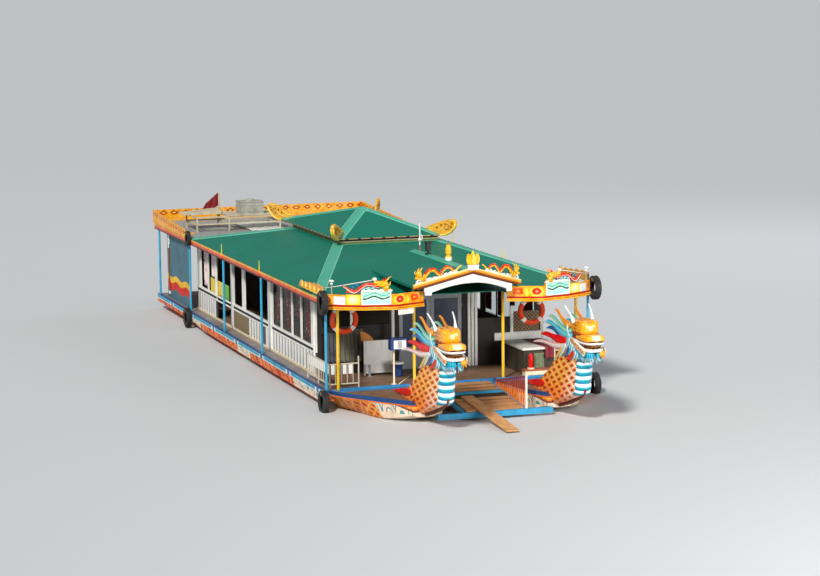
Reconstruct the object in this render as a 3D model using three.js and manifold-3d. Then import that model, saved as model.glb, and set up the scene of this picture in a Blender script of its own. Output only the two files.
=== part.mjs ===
// Twin-hull dragon boat for river passengers.
// Millimetres, +X to the bow, +Y to port, +Z up. The origin is amidships on the waterline.
import * as THREE from 'three';
import { mergeVertices } from 'three/addons/utils/BufferGeometryUtils.js';
import Module from 'manifold-3d';

const wasm = await Module();
wasm.setup();

// Driving sizes
const GAP = 0.3;               // clearance between pieces that touch
const HULL_Y = 1600;           // centreline of each hull and of its dragon
const HULL_TOP = 380;          // top of the hulls, under the deck
const TUNNEL = 810;            // half the clear width between the hulls
const DECK = 450;              // walking surface
const AFT_END = -10950;        // after edge of the deck
const DECK_FRONT = 7000;       // front edge of the deck, where the bows part
const BOW_END = 9200;          // where a hull has narrowed to its dragon's neck
const RAIL_Y = 2950;           // inner face of the rub rail
const RAIL_OUT = 3275;         // outer face of the rub rail
const EAVE_Y = 3250;           // edge of the main roof
const RAIL_LOW = 220;          // underside of the rub rail
const WALL_Y = 2900;           // outer face of the cabin side walls
const WALL = 50;               // thickness of the cabin walls
const CABIN_AFT = -7250;
const CABIN_FRONT = 4850;
const SILL = 1150;             // underside of the side windows
const HEAD = 2300;             // top of windows and doors
const BEAM_LOW = 2390;         // underside of the eave beam
const BEAM_OUT = 3272;         // outer face of the eave beam
const CEILING = 2540;          // top of walls, underside of the roofs
const POST_Y = 3238;           // line of the side posts
const POST_R = 32;
const EAVE_FRONT = 6950;       // front edge of the main roof
const SLOPE_FRONT = 6300;      // where its front slope runs out flat
const FASCIA_LOW = 2350;
const FASCIA_HIGH = 2800;
const FRONT_POST_X = 6880;     // line of the yellow posts
const SHAFT_Z = -210;          // propeller shaft's height
const PROP_X = -10350;
const RUDDER_X = -10720;
const SKEG_Z = -374;           // top of the bar under the propeller that carries the rudder

const v3 = (x, y, z) => new THREE.Vector3(x, y, z);
const group = new THREE.Group();

// Paints and metals
const finishes = {
  hull: [0xd9662a, 0.55, 0.1], deck: [0x8b6a4c, 0.8, 0.0], rail: [0x2a7fc0, 0.5, 0.2],
  blue: [0x3f9fd8, 0.45, 0.2], wood: [0xb08050, 0.8, 0.0], scale: [0xee7a2c, 0.5, 0.1],
  orange: [0xf0941e, 0.45, 0.1], white: [0xe8e8e2, 0.5, 0.1], glass: [0x20343c, 0.1, 0.0],
  green: [0x00806c, 0.5, 0.3], khaki: [0xa89a72, 0.7, 0.1], yellow: [0xf2b824, 0.5, 0.1],
  grey: [0x8a8f90, 0.6, 0.3], banner: [0x3f7384, 0.7, 0.0], rubber: [0x18181a, 0.9, 0.0],
  red: [0xd8351f, 0.5, 0.0], olive: [0x575c4c, 0.8, 0.0], maroon: [0x6e2030, 0.6, 0.0],
  brass: [0xb08d45, 0.35, 0.9], steel: [0xa0a4a6, 0.35, 0.9], cream: [0xcfc6a6, 0.5, 0.2],
};

function add(name, geometry, finish) {
  const [color, roughness, metalness] = finishes[finish];
  const mesh = new THREE.Mesh(geometry, new THREE.MeshStandardMaterial({ color, roughness, metalness }));
  mesh.name = name;
  group.add(mesh);
  return mesh;
}

// Solids: closed geometry to and from the boolean library
function toSolid(geometry) {
  const bare = geometry.clone();
  bare.deleteAttribute('normal');
  bare.deleteAttribute('uv');
  const merged = mergeVertices(bare, 0.001);
  const triVerts = new Uint32Array(merged.index.array);
  const vertProperties = new Float32Array(merged.attributes.position.array);
  return new wasm.Manifold(new wasm.Mesh({ numProp: 3, vertProperties, triVerts }));
}

function toGeometry(solid) {
  const mesh = solid.getMesh();
  const geometry = new THREE.BufferGeometry();
  geometry.setAttribute('position', new THREE.BufferAttribute(mesh.vertProperties, 3));
  geometry.setIndex(new THREE.BufferAttribute(mesh.triVerts, 1));
  geometry.computeVertexNormals();
  return geometry;
}

const join = (...pieces) => toGeometry(pieces.map(toSolid).reduce((sum, piece) => sum.add(piece)));
const cut = (piece, ...tools) => toGeometry(tools.map(toSolid).reduce((rest, tool) => rest.subtract(tool),
  toSolid(piece)));
const common = (one, other) => toGeometry(toSolid(one).intersect(toSolid(other)));

function mirrored(geometry) {
  const copy = geometry.clone().scale(1, -1, 1);
  const count = copy.attributes.position.count;
  const index = copy.index ? Array.from(copy.index.array) : [...Array(count).keys()];
  for (let i = 0; i < index.length; i += 3) [index[i + 1], index[i + 2]] = [index[i + 2], index[i + 1]];
  copy.setIndex(index);
  copy.computeVertexNormals();
  return copy;
}

// Adds a piece made for the port side, and its mirror image to starboard
function addPair(name, geometry, finish) {
  add(`${name}_port`, geometry, finish);
  add(`${name}_starboard`, mirrored(geometry), finish);
}

// Plain forms
function box(x0, x1, y0, y1, z0, z1) {
  const geometry = new THREE.BoxGeometry(x1 - x0, y1 - y0, z1 - z0);
  return geometry.translate((x0 + x1) / 2, (y0 + y1) / 2, (z0 + z1) / 2);
}

function extruded(points, depth) {
  const shape = new THREE.Shape(points.map(([a, b]) => new THREE.Vector2(a, b)));
  return new THREE.ExtrudeGeometry(shape, { depth, bevelEnabled: false });
}

// Outline (x, y), standing from z0 to z1
const planPlate = (points, z0, z1) => extruded(points, z1 - z0).translate(0, 0, z0);

// Outline (x, z), from y0 to y1
const sidePlate = (points, y0, y1) => extruded(points, y1 - y0).rotateX(Math.PI / 2).translate(0, y1, 0);

// Outline (y, z), from x0 to x1
function frontPlate(points, x0, x1) {
  const turn = new THREE.Matrix4().makeBasis(v3(0, 1, 0), v3(0, 0, 1), v3(1, 0, 0));
  return extruded(points, x1 - x0).applyMatrix4(turn).translate(x0, 0, 0);
}

function rod(from, to, radius, sides = 8, endRadius = radius) {
  const along = to.clone().sub(from);
  const geometry = new THREE.CylinderGeometry(endRadius, radius, along.length(), sides);
  const turn = new THREE.Quaternion().setFromUnitVectors(v3(0, 1, 0), along.clone().normalize());
  const middle = from.clone().add(to).multiplyScalar(0.5);
  return geometry.applyQuaternion(turn).translate(middle.x, middle.y, middle.z);
}

function turned(profile, segments, x, y, z) {
  const points = profile.map(([r, h]) => new THREE.Vector2(r, h));
  return new THREE.LatheGeometry(points, segments).rotateX(Math.PI / 2).translate(x, y, z);
}

// Skin over sections with equal counts of points, closed by a fan at each end
function loft(sections) {
  const rows = sections.length;
  const count = sections[0].length;
  const points = sections.flat();
  const index = [];
  for (let i = 0; i < rows - 1; i++) {
    for (let j = 0; j < count; j++) {
      const a = i * count + j;
      const b = i * count + (j + 1) % count;
      index.push(a, b, a + count, b, b + count, a + count);
    }
  }
  [0, rows - 1].forEach((row, end) => {
    const middle = sections[row].reduce((sum, p) => sum.add(p), v3(0, 0, 0)).divideScalar(count);
    const centre = points.push(middle) - 1;
    for (let j = 0; j < count; j++) {
      const edge = [row * count + j, row * count + (j + 1) % count];
      index.push(centre, ...(end ? edge : edge.reverse()));
    }
  });
  const geometry = new THREE.BufferGeometry().setFromPoints(points);
  geometry.setIndex(index);
  geometry.computeVertexNormals();
  return signedVolume(geometry) < 0 ? turnedOut(geometry) : geometry;
}

function signedVolume(geometry) {
  const position = geometry.attributes.position;
  const corner = k => new THREE.Vector3().fromBufferAttribute(position, geometry.index.getX(k));
  let six = 0;
  for (let i = 0; i < geometry.index.count; i += 3) {
    six += corner(i).dot(corner(i + 1).cross(corner(i + 2)));
  }
  return six / 6;
}

function turnedOut(geometry) {
  geometry.setIndex(Array.from(geometry.index.array).reverse());
  geometry.computeVertexNormals();
  return geometry;
}

// Hulls. Offsets are from the hull's centreline; outer is the side away from the boat's middle
const hullStations = [
  // x, outer top, outer chine, inner top, inner chine, chine z, keel z
  [AFT_END + 60, 1330, 1080, 790, 720, 170, 60],
  [-10100, 1450, 1220, 790, 740, 90, 0],
  [-9550, 1490, 1240, 790, 750, 20, -200],
  [-8950, 1500, 1250, 790, 760, 0, -350],
  [-7500, 1500, 1250, 790, 760, 0, -380],
  [5500, 1500, 1250, 790, 760, 0, -380],
  [6700, 1560, 1270, 790, 760, 0, -330],
  [7200, 1610, 1080, 790, 740, 0, -270],
  [7600, 1450, 990, 790, 720, 0, -200],
  [8000, 1190, 900, 780, 700, 0, -130],
  [8400, 920, 760, 700, 640, 20, -40],
  [8800, 620, 560, 540, 500, 90, 40],
  [BOW_END, 320, 300, 320, 300, 200, 150],
];

function hullSection([x, outerTop, outerChine, innerTop, innerChine, chineZ, keelZ]) {
  const bilgeZ = chineZ + (keelZ - chineZ) * 0.78;
  return [
    v3(x, HULL_Y + outerTop, HULL_TOP - GAP),
    v3(x, HULL_Y + outerChine, chineZ),
    v3(x, HULL_Y + outerChine * 0.76, bilgeZ),
    v3(x, HULL_Y + outerChine * 0.25, keelZ),
    v3(x, HULL_Y - innerChine * 0.25, keelZ),
    v3(x, HULL_Y - innerChine * 0.76, bilgeZ),
    v3(x, HULL_Y - innerChine, chineZ),
    v3(x, HULL_Y - innerTop, HULL_TOP - GAP),
  ];
}

const engineWell = { x0: -8900, x1: -7600, half: 420, floor: -230 };

function hull() {
  const { x0, x1, half, floor } = engineWell;
  const railSpace = box(AFT_END - 100, DECK_FRONT, RAIL_Y - GAP, RAIL_OUT + 100, RAIL_LOW - GAP, 500);
  const well = box(x0, x1, HULL_Y - half, HULL_Y + half, floor, 500);
  const bearing = box(PROP_X + 180, PROP_X + 330, HULL_Y - 25, HULL_Y + 25, SHAFT_Z, 100);
  const tube = rod(v3(-9500, HULL_Y, SHAFT_Z), v3(PROP_X + 150, HULL_Y, SHAFT_Z), 55, 12);
  const bore = rod(v3(-9150, HULL_Y, SHAFT_Z), v3(PROP_X + 100, HULL_Y, SHAFT_Z), 23.2, 12);
  const skeg = box(RUDDER_X - 30, PROP_X + 560, HULL_Y - 18, HULL_Y + 18, SKEG_Z - 28, SKEG_Z);
  const skegArm = box(PROP_X + 420, PROP_X + 560, HULL_Y - 18, HULL_Y + 18, SKEG_Z - 28, 100);
  const stockBore = rod(v3(RUDDER_X, HULL_Y, -100), v3(RUDDER_X, HULL_Y, 400), 23.2, 12);
  return cut(join(cut(loft(hullStations.map(hullSection)), railSpace, well), bearing, tube, skeg, skegArm),
    bore, stockBore);
}

// Deck with the two foredecks, its front coaming and the beams that tie the hulls together
function foredeckOutline() {
  const front = hullStations.filter(([x]) => x > DECK_FRONT);
  const outer = front.map(([x, top]) => [x, HULL_Y + top]);
  const inner = front.map(([x, , , top]) => [x, HULL_Y - top]).reverse();
  return [[DECK_FRONT, HULL_Y + 1620], ...outer, ...inner, [DECK_FRONT, HULL_Y - 790]];
}

function mainDeck() {
  const tieBeams = [-9200, -4100, 900, 6500];
  const foredeck = planPlate(foredeckOutline(), HULL_TOP, DECK);
  return join(
    box(AFT_END, DECK_FRONT + 40, -RAIL_Y + GAP, RAIL_Y - GAP, HULL_TOP, DECK),
    foredeck, mirrored(foredeck),
    box(DECK_FRONT - 70, DECK_FRONT, -2930, 2930, DECK - 20, DECK + 45),
    ...tieBeams.map(x => box(x, x + 180, -TUNNEL + 1, TUNNEL - 1, 170, HULL_TOP + 20)));
}

const rubRail = () => box(AFT_END, DECK_FRONT - GAP, RAIL_Y, RAIL_OUT, RAIL_LOW, DECK);

// Landing between the bows: it slopes down from the deck to the beam at the dragons' feet
const landing = { x0: DECK_FRONT + 40 + GAP, x1: 9340, beam: 80, high: 440, low: 190, side: 730 };
const landingSlope = Math.atan2(landing.high - landing.low, landing.x1 - landing.x0);
const landingTop = x => landing.high - (x - landing.x0) * Math.tan(landingSlope);

// Removes from a landing piece what lies inside the bows, a gap clear of them
function clearOfBows(piece) {
  const bow = loft(hullStations.map(hullSection)).translate(0, -GAP, 0);
  const foredeck = planPlate(foredeckOutline(), HULL_TOP - 1, DECK + 1).translate(0, -GAP, 0);
  return cut(piece, bow, foredeck, mirrored(bow), mirrored(foredeck));
}

function landingFrame() {
  const { x0, x1, beam, side } = landing;
  const cross = [x0, 8000].map(x => box(x, x + beam, -TUNNEL + 1, TUNNEL - 1, landingTop(x + beam) - beam,
    landingTop(x + beam)));
  const front = box(x1 - beam, x1, -1375, 1375, landing.low - 130, landing.low);
  const stringer = [[x0, landingTop(x0)], [x0, landingTop(x0) - beam], [x1, landingTop(x1) - beam],
    [x1, landingTop(x1)]];
  const stringers = [-side, 0, side].map(y => sidePlate(stringer, y - 38, y + 38));
  return clearOfBows(join(...cross, front, ...stringers));
}

function landingBoards() {
  const length = landing.x1 - landing.x0;
  const boards = [box(60, length - 60, -30, 30, 4, 21)];
  for (let i = 0; i < 9; i++) boards.push(box(30 + i * 250, 262 + i * 250, -680, 680, 0, 25));
  return join(...boards).rotateY(landingSlope).translate(landing.x0, 0, landing.high + 1);
}

// Loose boarding plank, laid down the landing and out over the water
function boardingPlank() {
  const plank = box(1210, 3960, -150, 150, 0, 32).rotateZ(0.025);
  return plank.translate(0, -330, 25 + GAP).rotateY(landingSlope).translate(landing.x0, 0, landing.high + 1);
}

// Picket rail on the landing's port edge: its top rises to the end post while the landing falls
function landingRail() {
  const { x1, side } = landing;
  const railStart = 7390;
  const railTop = x => 540 + (x - railStart) * 0.207;
  const rail = sidePlate([[railStart - 40, railTop(railStart - 40) - 35], [x1, railTop(x1) - 35],
    [x1, railTop(x1)], [railStart - 40, railTop(railStart - 40)]], side - 14, side + 14);
  const pickets = [];
  for (let x = railStart; x < x1 - 60; x += 120) {
    pickets.push(box(x, x + 30, side - 9, side + 9, landingTop(x) + 1, railTop(x) - 20));
  }
  const endPost = box(x1 - 40, x1, side - 20, side + 20, landingTop(x1 - 40) + 1, railTop(x1) + 20);
  return join(rail, ...pickets, endPost);
}

// Dragons
const neckOutline = [
  // x, z around the neck's flat side, from the foredeck round the stem and back down the mane
  [7750, DECK + GAP], [BOW_END + GAP, DECK + GAP], [BOW_END + GAP, 215], [9800, 400], [10300, 560],
  [10580, 650], [10630, 700], [10620, 900], [10690, 1150], [10710, 1400], [10690, 1640],
  [10150, 1760], [9980, 1740], [9650, 1620], [9250, 1300], [8840, 1000], [8400, 740], [8000, 540],
];
const NECK_HALF = 222;

const dragonNeck = () => sidePlate(neckOutline, HULL_Y - NECK_HALF, HULL_Y + NECK_HALF);

const skullSections = [
  // x, half width, z low, z high
  [9960, 120, 1790, 2060], [10140, 215, 1775, 2270], [10420, 250, 1775, 2350], [10780, 252, 1900, 2345],
  [10880, 240, 1920, 2240], [10920, 238, 1925, 2120], [11140, 240, 1925, 2125], [11260, 215, 1930, 2100],
  [11330, 150, 1960, 2040],
];
const jawSections = [
  [10120, 190, 1700, 1810], [10460, 225, 1665, 1800], [10860, 222, 1645, 1775],
  [11160, 205, 1660, 1780], [11290, 140, 1700, 1785],
];

function headSection([x, half, low, high]) {
  const round = Math.min(half, (high - low) / 2) * 0.45;
  const ring = [
    [half, low + round], [half, high - round], [half - round, high], [-half + round, high],
    [-half, high - round], [-half, low + round], [-half + round, low], [half - round, low],
  ];
  return ring.map(([y, z]) => v3(x, HULL_Y + y, z));
}

// Flame or ribbon of sheet metal: a wavy blade from its root to its tip, standing on its edge
function flame({ root, tip, width, wave, y, splay }) {
  const steps = 6;
  const along = v3(tip[0] - root[0], 0, tip[1] - root[1]);
  const across = v3(-along.z, 0, along.x).normalize();
  const line = [];
  for (let i = 0; i <= steps; i++) {
    const t = i / steps;
    const swing = wave * Math.sin(t * Math.PI * 2.2) * (0.4 + 0.6 * t);
    const half = width / 2 * (1 - t) ** 0.6;
    const x = root[0] + along.x * t + across.x * swing;
    const z = root[1] + along.z * t + across.z * swing;
    line.push({ x, z, half });
  }
  const upper = line.map(p => [p.x + across.x * p.half, p.z + across.z * p.half]);
  const lower = line.slice(0, -1).map(p => [p.x - across.x * p.half, p.z - across.z * p.half]).reverse();
  const blade = sidePlate([...upper, ...lower].reverse(), -14, 14);
  return blade.translate(-root[0], 0, 0).rotateZ(-splay).translate(root[0], HULL_Y + y, 0);
}

const maneFlames = [
  // root and tip (x, z), width, wave
  { root: [10330, 2200], tip: [9430, 2370], width: 130, wave: 40 },
  { root: [10350, 2080], tip: [9070, 2220], width: 140, wave: 45 },
  { root: [10330, 1990], tip: [8780, 2050], width: 170, wave: 50 },
  { root: [10280, 1900], tip: [8800, 1890], width: 130, wave: 30 },
  { root: [10280, 1850], tip: [8620, 1750], width: 180, wave: 35 },
  { root: [10280, 1780], tip: [8300, 1530], width: 120, wave: 35 },
];

function dragonHead() {
  const horns = [-1, 1].map(side => rod(v3(10480, HULL_Y + side * 215, 2250),
    v3(10200, HULL_Y + side * 290, 2620), 42, 8, 12));
  const flames = maneFlames.flatMap(f => [-1, 1].map(side => flame({ ...f, y: side * 228,
    splay: side * 0.03 })));
  const cheek = box(10080, 10420, HULL_Y - 200, HULL_Y + 200, 1765, 1850);
  const beard = box(10720, 11120, HULL_Y - 190, HULL_Y + 190, 1500, 1700);
  const tongue = box(10300, 11150, HULL_Y - 90, HULL_Y + 90, 1750, 1830);
  const neckSpace = sidePlate(neckOutline, HULL_Y - NECK_HALF - GAP, HULL_Y + NECK_HALF + GAP)
    .translate(0, 0, GAP);
  return cut(join(loft(skullSections.map(headSection)), loft(jawSections.map(headSection)),
    cheek, beard, tongue, ...horns, ...flames), neckSpace, neckSpace.clone().translate(GAP, 0, 0));
}

// Cabin
const sideOpenings = [
  // x from, x to, z from, z to
  [-6850, -6020, SILL, HEAD], [-5960, -5130, SILL, HEAD], [-5000, -3200, DECK + 20, HEAD],
  [-3050, -2120, SILL, HEAD], [-1850, 550, SILL, HEAD], [950, 1740, SILL, HEAD], [1820, 2740, SILL, HEAD],
  [2820, 3570, SILL, HEAD], [3650, 4500, SILL, HEAD], [4580, 4780, SILL, HEAD],
];

function cabinSide() {
  const wall = box(CABIN_AFT, CABIN_FRONT, WALL_Y - WALL, WALL_Y, DECK + GAP, CEILING - GAP);
  const holes = sideOpenings.map(([x0, x1, z0, z1]) => box(x0, x1, WALL_Y - 200, WALL_Y + 200, z0, z1));
  return cut(wall, ...holes);
}

const glassPane = () => box(900, 4815, WALL_Y - WALL - GAP - 6, WALL_Y - WALL - GAP, SILL - 40, HEAD + 40);

const doorHalf = 800;
function cabinFront() {
  const half = WALL_Y - WALL - GAP;
  const wall = box(CABIN_FRONT - WALL, CABIN_FRONT, -half, half, DECK + GAP, CEILING - GAP);
  const doorway = box(CABIN_FRONT - 200, CABIN_FRONT + 200, -doorHalf - 12, doorHalf + 12, DECK - 10, 2250);
  const windows = [-1, 1].map(side => box(CABIN_FRONT - 200, CABIN_FRONT + 200,
    side * 1875 - 825, side * 1875 + 825, 1600, HEAD));
  const glassBack = box(CABIN_FRONT - WALL - 10, CABIN_FRONT - WALL + 40, half - 8, half + 10,
    SILL - 60, HEAD + 60);
  return cut(wall, doorway, ...windows, glassBack, mirrored(glassBack));
}

function cabinRear() {
  const half = WALL_Y - WALL - GAP;
  const wall = box(CABIN_AFT, CABIN_AFT + WALL, -half, half, DECK + GAP, CEILING - GAP);
  const doorway = box(CABIN_AFT - 200, CABIN_AFT + 200, -450, 450, DECK - 10, 2250);
  return cut(wall, doorway);
}

function frontDoor() {
  const leaf = box(CABIN_FRONT - 44, CABIN_FRONT - 6, 5, doorHalf - 5, DECK + 15, 2240);
  const light = box(CABIN_FRONT - 100, CABIN_FRONT - 20, 95, doorHalf - 95, 1000, 2140);
  const knuckles = [700, 1900].map(z => rod(v3(CABIN_FRONT - 3, doorHalf + 2.5, z),
    v3(CABIN_FRONT - 3, doorHalf + 2.5, z + 90), 9, 10));
  return join(cut(leaf, light), ...knuckles);
}

// Side frames: posts with the eave beam that they carry
const postX = [-10700, -6700, -2750, 1180, 6915];
const finialPosts = [-2750, 1180];

function sideFrame() {
  const beam = box(-11200, 6948, 3185, BEAM_OUT, BEAM_LOW, CEILING - GAP);
  const posts = postX.map(x => rod(v3(x, POST_Y, DECK + GAP), v3(x, POST_Y, BEAM_LOW + 10), POST_R, 10));
  const finials = finialPosts.map(x => rod(v3(x, BEAM_OUT + 5, BEAM_LOW + 10), v3(x, BEAM_OUT + 5, 2820),
    24, 8, 8));
  return join(beam, ...posts, ...finials);
}

// Roofs
function frustum({ x0, x1, half, z0, topX0, topX1, topHalf, z1 }) {
  return loft([
    [v3(x0, -half, z0), v3(x1, -half, z0), v3(x1, half, z0), v3(x0, half, z0)],
    [v3(topX0, -topHalf, z1), v3(topX1, -topHalf, z1), v3(topX1, topHalf, z1), v3(topX0, topHalf, z1)],
  ]);
}

const ROOF_AFT = -6560;
const APEX_X = -550;
const lower = { x0: ROOF_AFT, x1: SLOPE_FRONT, half: EAVE_Y, z0: CEILING + 20,
  topX0: -2750, topX1: 1750, topHalf: 1390, z1: 3170 };
const upper = { x0: -3720, x1: 1730, half: 1390, z0: 3320,
  topX0: APEX_X - 12, topX1: APEX_X + 12, topHalf: 12, z1: 3880 };

// Sheet caps folded over a roof's four hips
const CAP_HALF = 150;
const CAP_RISE = 12;
function hipCaps(roof) {
  const strips = [[roof.topX0, roof.x0], [roof.topX1, roof.x1]].flatMap(([topX, x]) => [-1, 1].map(side => {
    const from = new THREE.Vector2(topX, side * roof.topHalf);
    const to = new THREE.Vector2(x, side * roof.half);
    const along = to.clone().sub(from).normalize();
    const across = new THREE.Vector2(-along.y, along.x).multiplyScalar(CAP_HALF);
    const corners = [from.clone().add(across), from.clone().sub(across), to.clone().sub(across),
      to.clone().add(across)];
    return planPlate(corners.map(({ x: a, y: b }) => [a, b]), roof.z0 - CAP_RISE, roof.z1 + 2 * CAP_RISE);
  }));
  return common(frustum(roof).translate(0, 0, CAP_RISE), join(...strips));
}

// Line inside another one, by a distance
function inset(line, distance) {
  return line.map(([x, y], i) => {
    const [ax, ay] = line[Math.max(i - 1, 0)];
    const [bx, by] = line[Math.min(i + 1, line.length - 1)];
    const along = new THREE.Vector2(bx - ax, by - ay).normalize();
    return [x + along.y * distance, y - along.x * distance];
  });
}

const FASCIA_THICK = 50;
const fasciaLine = [
  // x, y along the outside of the front fascia, port side: it bows out, then falls back to the porch
  [6990, 3262], [7250, 2930], [7287, 2861], [7451, 2552], [7490, 2480], [7628, 1877], [7650, 1780],
  [7350, 1020],
];

function lowerRoof() {
  const eave = box(ROOF_AFT, EAVE_FRONT, -EAVE_Y, EAVE_Y, CEILING, CEILING + 22);
  const back = EAVE_FRONT - 60;
  const edge = [[back, EAVE_Y - 70], ...inset(fasciaLine, FASCIA_THICK + GAP), [back, 1050]];
  const soffit = planPlate(edge, CEILING, CEILING + 50);
  return join(frustum(lower), eave, soffit, mirrored(soffit), hipCaps(lower));
}

const clerestory = () => box(-2740, 1700, -1300, 1300, lower.z1 + GAP, upper.z0 - 30 - GAP);

function upperRoof() {
  const { x0, x1, half, z0 } = upper;
  const eaveBoard = box(x0, x1, -half, half, z0 - 30, z0 + 2);
  const hips = [[x0, -1], [x0, 1], [x1, -1], [x1, 1]].map(([x, side]) => hipOrnament(x, side));
  return join(frustum(upper), eaveBoard, hipCaps(upper), ...hips);
}

// Flame-shaped plate that stands on the end of a hip and runs out past its corner
function hipOrnament(x, side) {
  const flameOutline = [[-520, 60], [0, -25], [120, 0], [300, 80], [420, 190], [480, 320], [400, 395],
    [320, 390], [120, 345], [-100, 280], [-400, 165]];
  const angle = Math.atan2(side * upper.half, x - APEX_X);
  return sidePlate(flameOutline, -25, 25).rotateZ(angle).translate(x, side * upper.half, upper.z0);
}

const aftRoof = { x0: -11200, x1: ROOF_AFT - GAP, top: 2600 };
const aftRoofDeck = () => box(aftRoof.x0, aftRoof.x1, -EAVE_Y + 60, EAVE_Y - 60, CEILING, aftRoof.top);

const ridge = { x0: 1900, x1: 7840, top: 3205, eaveY: 1300, eaveZ: 2830, thick: 60 };
const PORCH_RAKE = 0.292;      // how far the porch's front runs back for each step from its middle

// Sets the front of the porch back towards its ends, for a piece on the port side
function raked(geometry) {
  const rake = new THREE.Matrix4().set(1, -PORCH_RAKE, 0, 0, 0, 1, 0, 0, 0, 0, 1, 0, 0, 0, 0, 1);
  return geometry.applyMatrix4(rake);
}

function porchRoof() {
  const { x0, x1, top, eaveY, eaveZ, thick } = ridge;
  const chevron = frontPlate([[-eaveY, eaveZ], [-eaveY, eaveZ - thick], [0, top - thick],
    [eaveY, eaveZ - thick], [eaveY, eaveZ], [0, top]], x0, x1 + 60);
  const ahead = raked(box(x1, x1 + 600, 0, eaveY + 100, 2500, 3400));
  const raised = lowerRoof().translate(0, 0, GAP);
  const ridgeCap = frontPlate([[-150, top - 30], [150, top - 30], [150, top - 23], [0, top + 14],
    [-150, top - 23]], 3700, x1 - 90);
  const strut = box(7260, 7340, 1240, 1280, CEILING + 50 + GAP, 2800);
  const gourd = turned([[0, 0], [60, 0], [85, 45], [85, 110], [50, 150], [72, 200], [75, 290], [55, 370],
    [35, 430], [0, 460]], 10, 6190, 0, top - 10);
  const pole = rod(v3(4100, 0, top - 40), v3(4100, 0, 3900), 16, 8);
  const roof = cut(join(chevron, ridgeCap), raised, ahead, mirrored(ahead));
  return join(roof, strut, mirrored(strut), gourd, pole);
}

// Gable board with its arched valance, crown and two small dragons
function gableFront() {
  const x0 = ridge.x1 + GAP;
  const [end, endTop, top] = [1310, 2870, 3260];
  const [block, blockIn] = [1070, 915];
  const slope = (top - endTop) / end;
  const arch = [];
  for (let i = 0; i <= 6; i++) {
    const a = Math.PI / 2 * i / 6;
    arch.push([Math.cos(a) * blockIn, 2720 + Math.sin(a) * 220]);
  }
  const half = [[0, top], [end, endTop], [end, endTop - 110], [block, top - slope * block - 110],
    [block, 2630], [blockIn, 2630], ...arch];
  const moulding = [[0, top], [end, endTop], [end, endTop - 90], [0, top - 90]];
  const headAt = end - 120;
  const beast = crestDragon(960, 330, 30).rotateZ(-Math.PI / 2).rotateX(-Math.atan(slope))
    .translate(x0 + 36, headAt, top - slope * headAt);
  const face = frontPlate(half.reverse(), x0, x0 + 40);
  const wing = raked(join(face, frontPlate(moulding.reverse(), x0 + 20, x0 + 75), beast));
  const foot = frontPlate([[-130, 3180], [130, 3180], [110, 3320], [-110, 3320]], x0 + 2, x0 + 82);
  const crown = frontPlate([[-110, 3300], [110, 3300], [150, 3430], [115, 3560], [60, 3500], [0, 3640],
    [-60, 3500], [-115, 3560], [-150, 3430]], x0 + 7, x0 + 57);
  return join(wing, mirrored(wing), foot, crown);
}

// Small dragon on a board's edge, along +X from its head, cut from plate
function crestDragon(length, height, foot) {
  const back = [];
  for (let i = 0; i <= 10; i++) {
    const t = i / 10;
    const hump = Math.abs(Math.sin(t * Math.PI * 2.5)) * 0.55 + 0.3;
    back.push([t * length, height * hump * (1 - 0.45 * t)]);
  }
  const head = [[70, height * 1.1], [-60, height], [-100, height * 0.55], [-50, height * 0.2]];
  return sidePlate([[length, -foot], ...back.slice(2).reverse(), ...head, [0, -foot]].reverse(), -35, 35);
}

// Fascias
const fasciaPanels = [
  // first and last point along the line, top
  [0, 2, 2690], [2, 3, 2710], [3, 5, FASCIA_HIGH], [5, 7, 2700],
];

function frontFascia() {
  const back = inset(fasciaLine, FASCIA_THICK).reverse();
  const last = fasciaLine.length - 1;
  const boards = fasciaPanels.map(([from, to, top]) => planPlate(
    [...fasciaLine.slice(from, to + 1), ...back.slice(last - to, last - from + 1)], FASCIA_LOW, top));
  const lipLine = fasciaLine.map(([x, y]) => [x + 30, y + 12]);
  const lip = planPlate([...lipLine, ...inset(lipLine, 80).reverse()], FASCIA_LOW, FASCIA_LOW + 70);
  const beast = crestDragon(1050, 330, 110).rotateZ(Math.PI / 2 + 0.3).translate(7600, 1890, FASCIA_HIGH);
  return join(...boards, lip, beast);
}

function aftFascia() {
  const { x0, x1 } = aftRoof;
  const outer = EAVE_Y + 50;
  const board = [[x0 - 60, 2560], [-7150, 2560], [-7150, 2770], [x0 - 60, 2940]];
  const side = sidePlate(board, outer - 45, outer);
  const stern = box(x0 - 60, x0 - 15, -outer, outer, 2560, 2940);
  const tabX = [x0 + 400, -9200, -7400];
  const tabs = tabX.map(x => box(x, x + 60, EAVE_Y - 300, outer - 20, aftRoof.top + GAP, 2640));
  return join(side, mirrored(side), stern, ...tabs, ...tabs.map(mirrored));
}

const bannerPanel = () => box(-10250, CABIN_AFT - GAP, 3085, 3105, DECK + GAP, BEAM_LOW - 20);

// Spare oar lashed upright against the banner, blade up
function oar() {
  const y = -3105 - GAP - 22;
  const x = -9950;
  const blade = [[-50, 1900], [80, 2050], [100, 2250], [0, 2480], [-100, 2250], [-80, 2050]];
  return join(
    rod(v3(x, y, 620), v3(x, y, 2050), 22, 8),
    sidePlate(blade.map(([dx, z]) => [x + dx, z]), y - 10, y + 10),
    box(x - 80, x + 80, y - 12, y + 12, 560, 640));
}

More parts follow.
